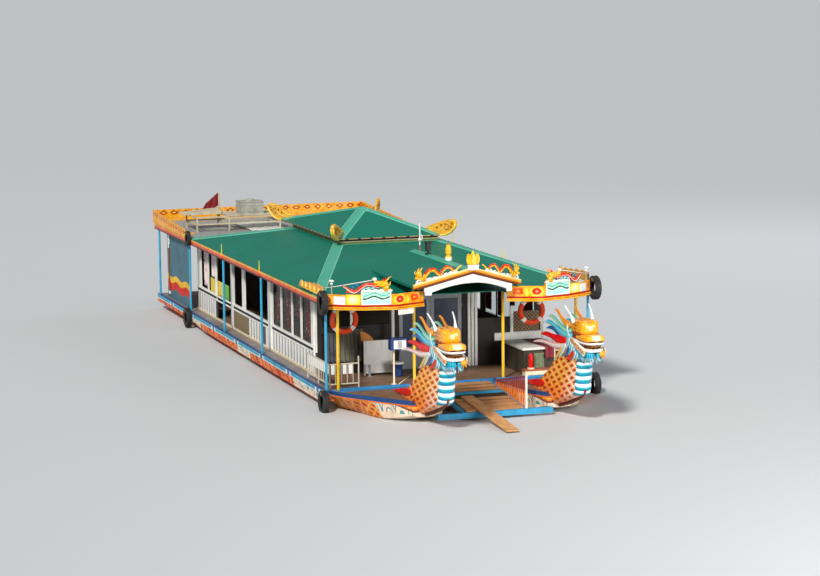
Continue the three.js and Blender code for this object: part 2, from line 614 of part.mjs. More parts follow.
// Rack, its long shelf and the tank on the after roof
const rack = { x0: -9050, x1: -7700, y0: -2800, y1: -330, top: 3040, leg: 40 };
function roofRack() {
  const { x0, x1, y0, y1, top, leg } = rack;
  const legY = [y0, -1850, y1];
  const legs = [x0, x1].flatMap(x => legY.map(y => box(x, x + leg, y, y + leg, aftRoof.top + GAP, top)));
  const levels = [top - leg, 2800];
  const along = legY.flatMap(y => levels.map(z => box(x0, x1 + leg, y, y + leg, z, z + leg)));
  const across = [x0, x1].flatMap(x => levels.map(z => box(x, x + leg, y0, y1 + leg, z, z + leg)));
  const shelf = box(x0 + 500, x1 + 60, -1850, y1 + 110, top - 5, top + 20);
  const board = frontPlate([[y0 - 200, top - 5], [y0 - 200, top + 20], [-1890, top + 120], [-1890, top - 5]],
    x0 - 60, x0 + 700);
  const mast = rod(v3(x0 + 20, -1790, 2820), v3(x0 + 20, -1790, 3650), 22, 8);
  return join(...legs, ...along, ...across, shelf, board, mast);
}

function waterTank() {
  const foot = rack.top + 20 + GAP;
  return box(-8350, -7750, -1450, -780, foot, foot + 340);
}

// Rubber fenders cut from car tyres, hung on their edge
function tyre(outer, section) {
  return new THREE.TorusGeometry(outer - section, section, 8, 16).rotateX(Math.PI / 2);
}

function lifeRing(z) {
  const ring = new THREE.TorusGeometry(290, 65, 8, 20).rotateY(Math.PI / 2).translate(0, 0, z);
  const line = rod(v3(0, 0, z + 300), v3(0, 0, CEILING - GAP), 7, 8);
  return join(ring, line);
}

// Front deck
const frontPost = y => rod(v3(FRONT_POST_X, y, DECK + GAP), v3(FRONT_POST_X, y, CEILING - GAP), 36, 10);

function deckRailing() {
  const { x0, x1, y0, y1, bar } = { x0: 4960, x1: 6795, y0: 2420, y1: 3120, bar: 26 };
  const top = 1050;
  const low = DECK + 110;
  const post = (x, y, z) => box(x, x + bar, y, y + bar, DECK + GAP, z);
  const pickets = [];
  for (let x = x0 + 150; x < x1 - 80; x += 150) pickets.push(box(x, x + 14, y1 + 6, y1 + 20, low, top));
  for (let y = y0 + 140; y < y1 - 80; y += 140) pickets.push(box(x1 + 6, x1 + 20, y, y + 14, low, top));
  const rails = [low, top - bar].flatMap(z => [
    box(x0, x1 + bar, y1, y1 + bar, z, z + bar), box(x1, x1 + bar, y0, y1 + bar, z, z + bar)]);
  return join(post(x0, y1, top), post((x0 + x1) / 2, y1, top), post(x1, y1, top), post(x1, y0, 1200),
    ...rails, ...pickets);
}

function deckPartition() {
  const panel = box(5230, 5270, -1820, -1120, DECK + 45, 1280);
  const post = rod(v3(5250, -1085, DECK + GAP), v3(5250, -1085, CEILING - GAP), 40, 10);
  const foot = box(5225, 5275, -1820, -1780, DECK + GAP, DECK + 60);
  return join(panel, post, foot);
}

function locker() {
  return join(box(5350, 6550, 1750, 2600, DECK + GAP, 1050), box(5300, 6600, 1700, 2650, 1040, 1090));
}

// Machinery at the stern
const engine = () => box(-8700, -7800, HULL_Y - 300, HULL_Y + 300, engineWell.floor + GAP, 300);

function propeller() {
  const hub = rod(v3(PROP_X - 80, 0, 0), v3(PROP_X + 60, 0, 0), 62, 12, 50);
  const shaft = rod(v3(PROP_X, 0, 0), v3(-9180, 0, 0), 22, 10);
  const blades = [0, 1, 2].map(i => {
    const outline = [[-45, 30], [-68, 80], [-55, 130], [0, 150], [55, 130], [68, 80], [45, 30]];
    const blade = sidePlate(outline.reverse(), -7, 7);
    return blade.rotateZ(0.9).translate(PROP_X, 0, 0).rotateX(i * Math.PI * 2 / 3);
  });
  return join(hub, shaft, ...blades).translate(0, HULL_Y, SHAFT_Z);
}

function rudder() {
  const blade = sidePlate([[RUDDER_X + 90, -30], [RUDDER_X + 110, -345], [RUDDER_X - 260, -345],
    [RUDDER_X - 290, -30]], HULL_Y - 14, HULL_Y + 14);
  const stock = rod(v3(RUDDER_X, HULL_Y, SKEG_Z + GAP), v3(RUDDER_X, HULL_Y, 372), 22, 12);
  return join(blade, stock);
}

addPair('hull', hull(), 'hull');
add('main_deck', mainDeck(), 'deck');
addPair('rub_rail', rubRail(), 'rail');
add('landing_frame', landingFrame(), 'blue');
add('landing_boards', landingBoards(), 'wood');
add('landing_rail', landingRail(), 'red');
add('boarding_plank', boardingPlank(), 'wood');
addPair('dragon_neck', dragonNeck(), 'scale');
addPair('dragon_head', dragonHead(), 'orange');
addPair('cabin_side', cabinSide(), 'white');
addPair('window_glass', glassPane(), 'glass');
add('cabin_front_wall', cabinFront(), 'olive');
add('cabin_rear_wall', cabinRear(), 'grey');
addPair('front_door', frontDoor(), 'white');
addPair('side_frame', sideFrame(), 'blue');
add('lower_roof', lowerRoof(), 'green');
add('clerestory', clerestory(), 'khaki');
add('upper_roof', upperRoof(), 'green');
add('aft_roof_deck', aftRoofDeck(), 'grey');
add('porch_roof', porchRoof(), 'green');
add('gable_front', gableFront(), 'orange');
addPair('front_fascia', frontFascia(), 'orange');
add('aft_fascia', aftFascia(), 'orange');
addPair('banner_panel', bannerPanel(), 'banner');
add('oar', oar(), 'white');
add('roof_rack', roofRack(), 'cream');
add('water_tank', waterTank(), 'grey');
addPair('front_post_outer', frontPost(2945), 'yellow');
addPair('front_post_inner', frontPost(1100), 'yellow');
addPair('deck_railing', deckRailing(), 'steel');
add('deck_partition', deckPartition(), 'white');
add('deck_locker', locker(), 'maroon');
addPair('engine', engine(), 'grey');
addPair('propeller', propeller(), 'brass');
addPair('rudder', rudder(), 'steel');

const TYRE_OUT = 285;
const TYRE_SECTION = 75;
const railFender = RAIL_OUT + TYRE_SECTION + GAP;
const eaveFender = BEAM_OUT + TYRE_SECTION + GAP;
const fenders = [
  // name, x, y, z
  ['fender_bow', 7060, railFender, 215], ['fender_stern', -6700, railFender, 300],
  ['fender_corner', 7080, eaveFender, 2520],
];
for (const [name, x, y, z] of fenders) {
  addPair(name, tyre(TYRE_OUT, TYRE_SECTION).translate(x, y, z), 'rubber');
}
const SMALL_TYRE = [205, 52];
add('fender_eave', tyre(...SMALL_TYRE).translate(-6520, -BEAM_OUT - SMALL_TYRE[1] - GAP, 2580), 'rubber');
add('life_ring_port', lifeRing(1850).translate(5750, 2260, 0), 'red');
add('life_ring_starboard', lifeRing(1900).translate(5750, -2450, 0), 'red');

export default group;
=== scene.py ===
import math
from math import cos, hypot, pi, sin

import bmesh
import bpy
from mathutils import Matrix, Vector


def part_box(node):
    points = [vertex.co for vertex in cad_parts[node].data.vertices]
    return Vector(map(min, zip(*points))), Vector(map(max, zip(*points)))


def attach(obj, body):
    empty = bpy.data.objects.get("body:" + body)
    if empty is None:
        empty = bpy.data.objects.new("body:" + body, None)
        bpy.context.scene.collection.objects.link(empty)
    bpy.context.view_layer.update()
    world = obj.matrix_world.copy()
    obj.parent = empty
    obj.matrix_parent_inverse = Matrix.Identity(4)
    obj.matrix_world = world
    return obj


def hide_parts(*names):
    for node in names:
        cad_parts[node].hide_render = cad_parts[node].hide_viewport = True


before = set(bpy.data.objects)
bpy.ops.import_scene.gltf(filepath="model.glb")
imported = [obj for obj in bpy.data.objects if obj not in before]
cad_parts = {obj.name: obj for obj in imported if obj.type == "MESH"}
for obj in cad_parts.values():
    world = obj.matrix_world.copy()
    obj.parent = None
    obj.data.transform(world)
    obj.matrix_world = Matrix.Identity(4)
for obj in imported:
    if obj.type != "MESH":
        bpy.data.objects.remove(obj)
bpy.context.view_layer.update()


# Viewpoint, floor and lights
# The camera stands high off the starboard bow with a long lens. The pale floor lies at the waterline,
# and a broad sun, three large soft lamps and a pale sky light the boat.
camera_azimuth, camera_drop, camera_roll = (math.radians(a) for a in (71.62, 7.68, -0.58))
look = Vector((-sin(camera_azimuth) * cos(camera_drop), cos(camera_azimuth) * cos(camera_drop),
               -sin(camera_drop)))
level = Vector((cos(camera_azimuth), sin(camera_azimuth), 0))
upright = level.cross(look)
across = level * cos(camera_roll) + upright * sin(camera_roll)
upward = upright * cos(camera_roll) - level * sin(camera_roll)
camera = bpy.data.objects.new("camera", bpy.data.cameras.new("camera"))
stand = Matrix.Translation((57.33, -17.95, 9.89))
camera.matrix_world = stand @ Matrix((across, upward, -look)).transposed().to_4x4()
camera.data.sensor_width = 36
camera.data.lens = 102.04
camera.data.clip_end = 4000
bpy.context.collection.objects.link(camera)
bpy.context.scene.camera = camera
bpy.context.scene.view_settings.view_transform = "Standard"


def area_lamp(name, place, target, power, size, colour):
    lamp = bpy.data.lights.new(name, "AREA")
    lamp.energy, lamp.size, lamp.color = power, size, colour
    holder = bpy.data.objects.new(name, lamp)
    holder.location = place
    holder.rotation_euler = (Vector(target) - Vector(place)).to_track_quat("-Z", "Y").to_euler()
    bpy.context.collection.objects.link(holder)


area_lamp("bow_lamp", (36, 10, 12), (6, 0, 1), 1500, 12, (1.0, 0.98, 0.95))
area_lamp("porch_lamp", (34, 10.4, 3.6), (5.0, -0.5, 1.2), 4000, 10, (1.0, 0.98, 0.95))
area_lamp("fill_lamp", (-20, 26, 22), (-2, 0, 1), 1500, 14, (0.92, 0.96, 1.0))
key_lamp = bpy.data.objects.new("key_lamp", bpy.data.lights.new("key_lamp", "SUN"))
key_lamp.data.energy, key_lamp.data.angle, key_lamp.data.color = 3.4, 0.14, (1.0, 0.96, 0.9)
key_lamp.rotation_euler = Vector((-30, 24, -30)).to_track_quat("-Z", "Y").to_euler()
bpy.context.collection.objects.link(key_lamp)


class Value:
    """What a node puts out; arithmetic with it adds the Math nodes."""
    def __init__(self, socket):
        self.socket = socket

    def __abs__(self):
        return calc("ABSOLUTE", self)

    def __add__(self, other):
        return calc("ADD", self, other)

    def __radd__(self, other):
        return calc("ADD", other, self)

    def __sub__(self, other):
        return calc("SUBTRACT", self, other)

    def __rsub__(self, other):
        return calc("SUBTRACT", other, self)

    def __mul__(self, other):
        return calc("MULTIPLY", self, other)

    def __rmul__(self, other):
        return calc("MULTIPLY", other, self)

    def __truediv__(self, other):
        return calc("DIVIDE", self, other)

    def __gt__(self, other):
        return calc("GREATER_THAN", self, other)

    def __lt__(self, other):
        return calc("LESS_THAN", self, other)


class Placed:
    """A node in its tree; its outputs are asked for by name or number."""
    def __init__(self, node):
        self.node = node

    def __getitem__(self, key):
        return Value(self.node.outputs[key])


def put(socket, value):
    """Links a value to a node's input, or sets a plain one there."""
    if isinstance(value, Value):
        socket.id_data.links.new(value.socket, socket)
    else:
        socket.default_value = (*value, 1) if socket.type == "RGBA" and len(value) == 3 else value


def add_node(owner, kind, sockets=None, **settings):
    """A new node in a tree, or in a material's tree."""
    tree = getattr(owner, "node_tree", owner)
    made = tree.nodes.new(kind if kind.startswith("NodeGroup") or "Node" in kind else "ShaderNode" + kind)
    for key, value in settings.items():
        setattr(made, key, value)
    for key, value in (sockets or {}).items():
        put(made.inputs[key], value)
    return Placed(made)


def calc(operation, *values):
    tree = next(value for value in values if isinstance(value, Value)).socket.id_data
    return add_node(tree, "Math", dict(enumerate(values)), operation=operation)[0]


world = bpy.data.worlds.new("sky")
bpy.context.scene.world = world
world.use_nodes = True
world.node_tree.nodes["Background"].inputs["Color"].default_value = (0.8, 0.86, 0.93, 1)
world.node_tree.nodes["Background"].inputs["Strength"].default_value = 0.3

floor_mesh = bpy.data.meshes.new("floor")
reach = 1500
floor_mesh.from_pydata([(-reach, -reach, 0), (reach, -reach, 0), (reach, reach, 0), (-reach, reach, 0)], [],
                       [(0, 1, 2, 3)])
floor = bpy.data.objects.new("floor", floor_mesh)
bpy.context.collection.objects.link(floor)
floor_finish = bpy.data.materials.new("floor_finish")
floor_finish.use_nodes = True
floor_finish.node_tree.nodes["Principled BSDF"].inputs["Base Color"].default_value = (0.58, 0.6, 0.62, 1)
floor_finish.node_tree.nodes["Principled BSDF"].inputs["Roughness"].default_value = 0.9
floor_mesh.materials.append(floor_finish)


# Twin hulls
# Two plated steel hulls, painted orange with rows of dark scales between cream panels of teal clouds.
# They are welded to the deck beams, and their bows rise into the dragons' necks.
def mixed(mask, a, b):
    return add_node(mask.socket.id_data, "Mix", {0: mask, 6: a, 7: b}, data_type="RGBA")[2]


def ease(value, low, high):
    """0 at low and 1 at high, and held beyond them."""
    return add_node(value.socket.id_data, "MapRange", {"Value": value, 1: low, 2: high})[0]


def within(value, low, high):
    """1 where the value lies between low and high."""
    return (value > low) * (value < high)


def noise(owner, scale, detail=2.0, roughness=0.5, at=None):
    place = at or add_node(owner, "TexCoord")["Object"]
    return add_node(owner, "TexNoise", {"Vector": place, "Scale": scale, "Detail": detail,
                                        "Roughness": roughness})[0]


def effect(name, inputs, outputs):
    """An empty shader group with named sockets: (name, kind, default) and (name, kind)."""
    group = bpy.data.node_groups.new(name, "ShaderNodeTree")
    for label, kind, default in inputs:
        socket = group.interface.new_socket(label, in_out="INPUT", socket_type="NodeSocket" + kind)
        if default is not None:
            socket.default_value = default
    for label, kind in outputs:
        group.interface.new_socket(label, in_out="OUTPUT", socket_type="NodeSocket" + kind)
    start = group.nodes.new("NodeGroupInput")
    end = group.nodes.new("NodeGroupOutput")
    return group, Placed(start), lambda label, value: put(end.inputs[label], value)


def use(owner, group, **sockets):
    """Places a shader group and fills its inputs, with _ for a space in their names."""
    made = add_node(owner, "Group", node_tree=group)
    for key, value in sockets.items():
        put(made.node.inputs[key.replace("_", " ")], value)
    return made


# worn paint: blotches of fading, dirt in streaks, and a fine orange-peel height
weather, given, give = effect("worn_paint", [("Color", "Color", (1, 1, 1, 1)),
                                             ("Dirt Color", "Color", (0.1, 0.075, 0.05, 1)),
                                             ("Dirt", "Float", 0.35), ("Size", "Float", 3.0),
                                             ("Gloss", "Float", 0.4)],
                              [("Color", "Color"), ("Roughness", "Float"), ("Height", "Float")])
place = add_node(weather, "TexCoord")["Object"]
blotch = add_node(weather, "TexNoise", {"Vector": place, "Scale": given["Size"], "Detail": 6.0,
                                        "Roughness": 0.62})
drawn = add_node(weather, "Mapping", {"Vector": place, "Scale": (5.0, 5.0, 0.7)})[0]
streak = add_node(weather, "TexNoise", {"Vector": drawn, "Scale": given["Size"], "Detail": 4.0})
grain = add_node(weather, "TexNoise", {"Vector": place, "Scale": 90.0, "Detail": 2.0})
patches = ease(blotch[0], 0.46, 0.74)
runs = ease(streak[0], 0.52, 0.8)
worn = calc("MAXIMUM", patches, runs) * given["Dirt"]
faded = add_node(weather, "HueSaturation", {"Color": given["Color"], "Saturation": blotch[0] * 0.35 + 0.84,
                                            "Value": grain[0] * 0.12 + 0.94})[0]
give("Color", mixed(worn, faded, given["Dirt Color"]))
give("Roughness", worn * 0.45 + given["Gloss"])
give("Height", grain[0] * 0.25 + worn * -0.6)

# net of overlapping scales in flat coordinates: its lines, the dark eye of each scale and a shade for each
net, given, give = effect("scale_net", [
    ("U", "Float", 0.0), ("V", "Float", 0.0), ("Line", "Float", 0.1), ("Eye", "Float", 0.24)],
    [("Line", "Float"), ("Eye", "Float"), ("Shade", "Float"), ("Height", "Float")])
sum_uv = given["U"] + given["V"]
gap_uv = given["U"] - given["V"]
off_a = abs(calc("FRACT", sum_uv) - 0.5)
off_b = abs(calc("FRACT", gap_uv) - 0.5)
far = calc("MAXIMUM", off_a, off_b)
border = 0.5 - given["Line"]
give("Line", ease(far, border, border + 0.05))
give("Eye", ease(off_a + off_b, given["Eye"], given["Eye"] * 0.7))
cell = add_node(net, "CombineXYZ", {"X": calc("FLOOR", sum_uv), "Y": calc("FLOOR", gap_uv)})
give("Shade", add_node(net, "TexWhiteNoise", {"Vector": cell[0]})["Value"])
give("Height", 1.0 - far * 2.0)

# cloud scrolls: rings wound round scattered points, with a puffed edge
clouds, given, give = effect("cloud_scrolls", [("Vector", "Vector", None), ("Size", "Float", 5.0)],
                             [("Line", "Float"), ("Puff", "Float")])
bent = add_node(clouds, "TexNoise", {"Vector": given["Vector"], "Scale": given["Size"] * 1.2,
                                     "Detail": 1.0})["Color"]
bent = add_node(clouds, "MixRGB", {0: 0.06, 1: given["Vector"], 2: bent})[0]
puffs = add_node(clouds, "TexVoronoi", {"Vector": bent, "Scale": given["Size"]})["Distance"]
ring = calc("SINE", puffs * 26.0)
give("Line", ease(ring, 0.55, 0.85))
give("Puff", 1.0 - puffs)


def new_material(name):
    material = bpy.data.materials.new(name)
    material.use_nodes = True
    material.diffuse_color = (0.8, 0.5, 0.2, 1)
    return material


def shade(material, **sockets):
    """Sets the shader's own inputs, with _ for a space in their names."""
    for key, value in sockets.items():
        put(material.node_tree.nodes["Principled BSDF"].inputs[key.replace("_", " ")], value)


def spread(owner):
    """Object coordinates as x, y, z."""
    parts = add_node(owner, "SeparateXYZ", {0: add_node(owner, "TexCoord")["Object"]})
    return [parts[i] for i in range(3)]


def weathered(material, colour, dirt=0.35, gloss=0.4, size=3.0, bump=0.25, relief=None,
              dirt_colour=(0.1, 0.075, 0.05)):
    """Puts a colour through the worn paint, and its height through a bump, on the material's shader."""
    worn = use(material, weather, Color=colour, Dirt=dirt, Size=size, Gloss=gloss, Dirt_Color=dirt_colour)
    height = worn["Height"] if relief is None else relief * 3.0 + worn["Height"]
    lift = add_node(material, "Bump", {"Height": height, "Strength": bump, "Distance": 0.004})
    shade(material, Base_Color=worn["Color"], Roughness=worn["Roughness"], Specular_IOR_Level=0.3,
          Normal=lift[0])
    return material


def painted(name, colour, metallic=0.0, coat=0.0, **wear):
    material = new_material(name)
    shade(material, Metallic=metallic, Coat_Weight=coat)
    return weathered(material, colour, **wear)


orange, red_orange, dark_red = (0.86, 0.25, 0.02), (0.72, 0.09, 0.015), (0.22, 0.012, 0.008)
net_yellow = (0.93, 0.52, 0.1)


def side_band(owner, x, z, along):
    """The painted band low on the sides: orange with dark flames, and cream with a few teal cloud lines."""
    licks = add_node(owner, "TexWave", {"Vector": along, "Scale": 1.5, "Distortion": 9.0, "Detail": 2.0,
                                       "Detail Scale": 1.3}, wave_type="BANDS", bands_direction="DIAGONAL")
    lick = ease(licks["Fac"], 0.66, 0.78)
    flames = mixed(lick, (0.92, 0.2, 0.015), (0.42, 0.02, 0.008))
    scrolls = use(owner, clouds, Vector=along, Size=1.9)["Line"]
    cloud = mixed(calc("POWER", scrolls, 3.0) * (z > 0.19), (0.86, 0.68, 0.5), (0.05, 0.3, 0.36))
    part = calc("FRACT", (x + 23.3) / 5.5)
    pale = calc("MAXIMUM", part < 0.25, within(x, 4.25, 6.7))
    return mixed(pale, flames, cloud), cloud


def hull_paint():
    material = new_material("hull_paint")
    x, y, z = spread(material)
    run = calc("MAXIMUM", x - 7.0, 0.0) * 0.75 + x
    scales = use(material, net, U=run * 2.6, V=z * 5.0, Line=0.1, Eye=0.26)
    base = mixed(scales["Shade"], orange, red_orange)
    base = mixed(scales["Eye"], base, dark_red)
    base = mixed(scales["Line"], base, net_yellow)
    band, cloud = side_band(material, x, z, add_node(material, "CombineXYZ", {"X": run, "Y": z})[0])
    after = z * 0.3 + x
    ahead = z * 3.0 + x
    colour = mixed(x < 6.6, base, band)
    colour = mixed((after > 8.42) * (ahead < 9.95), colour, cloud)
    colour = mixed(within(ahead, 9.95, 10.1), colour, (0.2, 0.075, 0.035))
    below = ease(z, 0.05, -0.02)
    slime = noise(material, 1.2, 5.0)
    colour = mixed(below * (slime * 0.8 + 0.5), colour, (0.055, 0.05, 0.032))
    relief = scales["Height"] * (x > 6.6)
    return weathered(material, colour, dirt=0.4, gloss=0.33, relief=relief, bump=0.35)


def dress(material, *nodes):
    """Gives carried-over CAD nodes their finish."""
    for name in nodes:
        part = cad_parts[name]
        part.data.materials.clear()
        part.data.materials.append(material)


sides = ("port", "starboard")
dress(hull_paint(), "hull_port", "hull_starboard")


# Deck, foredecks and gunwales
# The plated deck is painted brown, with a light blue coaming across its front. Each foredeck has a round
# steel gunwale, dark blue outside and light blue inside, welded along its edge.
def deck_paint():
    material = new_material("deck_paint")
    x, y, z = spread(material)
    scuffs = noise(material, 2.3, 7.0, 0.7)
    brown = mixed(scuffs, (0.13, 0.065, 0.035), (0.34, 0.2, 0.12))
    tread = calc("SINE", x * 60.0)
    front = within(x, 6.9, 7.2)
    blue = front * (z > 0.382)
    colour = mixed(blue, brown, (0.035, 0.25, 0.52))
    colour = mixed(z < 0.379, colour, (0.03, 0.16, 0.3))
    edge = (x > 7.01) * within(z, 0.36, 0.447)
    colour = mixed(edge, colour, mixed(z > 0.412, (0.7, 0.16, 0.02), (0.008, 0.07, 0.24)))
    return weathered(material, colour, dirt=0.45, gloss=0.5, relief=tread, bump=0.12)


dress(deck_paint(), "main_deck")


def mesh_of(name, points, faces):
    """A mesh from points and faces, or from points and lines between two of them."""
    mesh = bpy.data.meshes.new(name)
    lines = bool(faces) and len(faces[0]) == 2
    mesh.from_pydata([tuple(p) for p in points], faces if lines else [], [] if lines else faces)
    mesh.update()
    return mesh


def finish_piece(made, smooth, replaces=()):
    if smooth:
        for face in made.data.polygons:
            face.use_smooth = True
    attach(made, "boat")
    if replaces:
        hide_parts(*replaces)
    return made


def piece(name, form, material, slot="painted_carving", smooth=False, bevel=0.0, replaces=()):
    """One finished object from points, faces and each point's place in its painting, if it has one."""
    made = bpy.data.objects.new(name, mesh_of(name, *form[:2]))
    bpy.context.collection.objects.link(made)
    made.data.materials.append(material)
    if len(form) > 2:
        layer = made.data.uv_layers.new(name="place")
        for loop in made.data.loops:
            layer.data[loop.index].uv = form[2][loop.vertex_index]
    shell = bmesh.new()
    shell.from_mesh(made.data)
    bmesh.ops.remove_doubles(shell, verts=shell.verts, dist=1e-5)
    bmesh.ops.recalc_face_normals(shell, faces=shell.faces)
    shell.to_mesh(made.data)
    shell.free()
    if bevel:
        edge = made.modifiers.new("edges", "BEVEL")
        edge.width, edge.segments, edge.limit_method = bevel, 2, "ANGLE"
    return finish_piece(made, smooth, replaces)


def new_tree(name, inputs):
    """A Geometry Nodes tree with named inputs: (name, kind, default)."""
    tree = bpy.data.node_groups.new(name, "GeometryNodeTree")
    tree.interface.new_socket("Geometry", in_out="INPUT", socket_type="NodeSocketGeometry")
    for label, kind, default in inputs:
        tree.interface.new_socket(label, in_out="INPUT", socket_type="NodeSocket"
                                  + kind).default_value = default
    tree.interface.new_socket("Material", in_out="INPUT", socket_type="NodeSocketMaterial")
    tree.interface.new_socket("Geometry", in_out="OUTPUT", socket_type="NodeSocketGeometry")
    return tree, Placed(tree.nodes.new("NodeGroupInput"))


def end_tree(tree, given, geometry):
    solid = add_node(tree, "GeometryNodeRealizeInstances", {"Geometry": geometry})[0]
    solid = add_node(tree, "GeometryNodeSetMaterial", {"Geometry": solid, "Material": given["Material"]})[0]
    put(tree.nodes.new("NodeGroupOutput").inputs[0], solid)


def grown(name, tree, form, material, values, smooth=False):
    """A finished object from a form that a Geometry Nodes tree repeats or follows."""
    made = bpy.data.objects.new(name, mesh_of(name, *form[:2]))
    bpy.context.collection.objects.link(made)
    grow = made.modifiers.new("grow", "NODES")
    grow.node_group = tree
    for socket in tree.interface.items_tree:
        if socket.in_out == "INPUT" and socket.name != "Geometry":
            grow[socket.identifier] = values[socket.name] if socket.name in values else material
    shape = bpy.data.meshes.new_from_object(made.evaluated_get(bpy.context.evaluated_depsgraph_get()))
    made.modifiers.clear()
    made.data = shape
    return finish_piece(made, smooth)


# like parts in a row
row_tree, given = new_tree("parts_in_a_row", [("Count", "Int", 4), ("Step", "Vector", (0.1, 0, 0))])
places = add_node(row_tree, "GeometryNodeMeshLine", {"Count": given["Count"], "Offset": given["Step"]},
                  mode="OFFSET")[0]
end_tree(row_tree, given, add_node(row_tree, "GeometryNodeInstanceOnPoints",
                                   {"Points": places, "Instance": given["Geometry"]})[0])

# like parts round a ring: each is turned by its share of the whole turn, then all go to their place
ring_tree, given = new_tree("parts_in_a_ring", [("Count", "Int", 12), ("Turn", "Vector", (0, 6.2832, 0)),
                                                ("Place", "Vector", (0, 0, 0))])
places = add_node(ring_tree, "GeometryNodeMeshLine", {"Count": given["Count"], "Offset": (0, 0, 0)},
                  mode="OFFSET")[0]
share = add_node(ring_tree, "GeometryNodeInputIndex")[0] / given["Count"]
turned = add_node(ring_tree, "ShaderNodeVectorMath", {0: given["Turn"], "Scale": share}, operation="SCALE")[0]
turned = add_node(ring_tree, "FunctionNodeEulerToRotation", {0: turned})[0]
round_it = add_node(ring_tree, "GeometryNodeInstanceOnPoints", {"Points": places,
                                                                "Instance": given["Geometry"],
                                                                "Rotation": turned})[0]
end_tree(ring_tree, given, add_node(ring_tree, "GeometryNodeTransform",
                                    {"Geometry": round_it, "Translation": given["Place"]})[0])

# round bar along a line, through a smooth curve
bar_tree, given = new_tree("bar_on_a_line", [("Radius", "Float", 0.02), ("Sides", "Int", 10),
                                             ("Fineness", "Int", 6)])
line = add_node(bar_tree, "GeometryNodeMeshToCurve", {0: given["Geometry"]})[0]
line = add_node(bar_tree, "GeometryNodeCurveSplineType", {0: line}, spline_type="CATMULL_ROM")[0]
line = add_node(bar_tree, "GeometryNodeSetSplineResolution", {0: line, "Resolution": given["Fineness"]})[0]
round_bar = add_node(bar_tree, "GeometryNodeCurvePrimitiveCircle",
                     {"Resolution": given["Sides"], "Radius": given["Radius"]})[0]
bar = add_node(bar_tree, "GeometryNodeCurveToMesh", {0: line, 1: round_bar, "Fill Caps": True})[0]
end_tree(bar_tree, given, bar)

# beads along a line, such as nail heads
bead_tree, given = new_tree("beads_on_a_line", [("Spacing", "Float", 0.1),
                                                ("Size", "Vector", (0.01, 0.01, 0.01))])
line = add_node(bead_tree, "GeometryNodeMeshToCurve", {0: given["Geometry"]})[0]
places = add_node(bead_tree, "GeometryNodeCurveToPoints", {0: line, "Length": given["Spacing"]},
                  mode="LENGTH")
bead = add_node(bead_tree, "GeometryNodeMeshIcoSphere", {"Radius": 1.0, "Subdivisions": 2})[0]
end_tree(bead_tree, given, add_node(bead_tree, "GeometryNodeInstanceOnPoints",
                                    {"Points": places[0], "Instance": bead, "Rotation": places["Rotation"],
                                     "Scale": given["Size"]})[0])


def on_side(side, form):
    """The form of the port side, or its mirror image for starboard."""
    return form if side == "port" else over(form)


def both(name, form, material, replaces=None, **rest):
    """The same piece to port and to starboard."""
    return [piece(f"{name}_{side}", on_side(side, form), material,
                  replaces=(f"{replaces}_{side}",) if replaces else (), **rest) for side in sides]


def block(x0, x1, y0, y1, z0, z1):
    points = [(x, y, z) for x in (x0, x1) for y in (y0, y1) for z in (z0, z1)]
    return points, [(0, 1, 3, 2), (4, 6, 7, 5), (0, 4, 5, 1), (2, 3, 7, 6), (0, 2, 6, 4), (1, 5, 7, 3)]


def together(*forms):
    points, faces, places = [], [], []
    for form in forms:
        start = len(points)
        points += list(form[0])
        faces += [tuple(i + start for i in face) for face in form[1]]
        places += form[2] if len(form) > 2 else [(0, 0)] * len(form[0])
    return points, faces, places


def wires(*paths):
    """Open lines through each path's points."""
    return together(*((path, [(i, i + 1) for i in range(len(path) - 1)]) for path in paths))


def bent_by(form, rule):
    return ([rule(*p) for p in form[0]], *form[1:])


def over(form):
    """The same form on the other side of the boat."""
    return ([(x, -y, z) for x, y, z in form[0]], [tuple(reversed(face)) for face in form[1]], *form[2:])


def skin(rings):
    """Skin over rings of equal counts, with a face at each end."""
    count = len(rings[0])
    faces = []
    for i in range(len(rings) - 1):
        for j in range(count):
            k = (j + 1) % count
            faces.append((i * count + j, i * count + k, (i + 1) * count + k, (i + 1) * count + j))
    faces += [tuple(reversed(range(count))), tuple(range((len(rings) - 1) * count, len(rings) * count))]
    return [p for ring in rings for p in ring], faces


def tube(path, radius, sides=10):
    """Round bar along a path; the radius may be a rule of the place along it, from 0 to 1."""
    path = [Vector(p) for p in path]
    rings = []
    aside = None
    for i, p in enumerate(path):
        along = (path[min(i + 1, len(path) - 1)] - path[max(i - 1, 0)]).normalized()
        if aside is None:
            aside = along.orthogonal().normalized()
        aside = (aside - along * aside.dot(along)).normalized()
        up = along.cross(aside)
        r = radius(i / (len(path) - 1)) if callable(radius) else radius
        rings.append([p + (aside * cos(a) + up * sin(a)) * r
                      for a in (2 * pi * j / sides for j in range(sides))])
    return skin(rings)


def lathe(profile, place, count=24):
    """Body turned about an upright axis: (radius, height) from its foot to its top."""
    x, y, z = place
    return skin([[(x + r * cos(a), y + r * sin(a), z + h) for a in (2 * pi * j / count for j in range(count))]
                 for r, h in profile])


def plate(outline, low, high, axes="xz"):
    """Flat plate: its outline lies in two named axes, and it is thick along the third."""
    third = next(a for a in "xyz" if a not in axes)
    points = []
    for depth in (low, high):
        for a, b in outline:
            at = {axes[0]: a, axes[1]: b, third: depth}
            points.append((at["x"], at["y"], at["z"]))
    n = len(outline)
    faces = [tuple(range(n)), tuple(reversed(range(n, 2 * n)))]
    faces += [(i, i + n, (i + 1) % n + n, (i + 1) % n) for i in range(n)]
    return points, faces


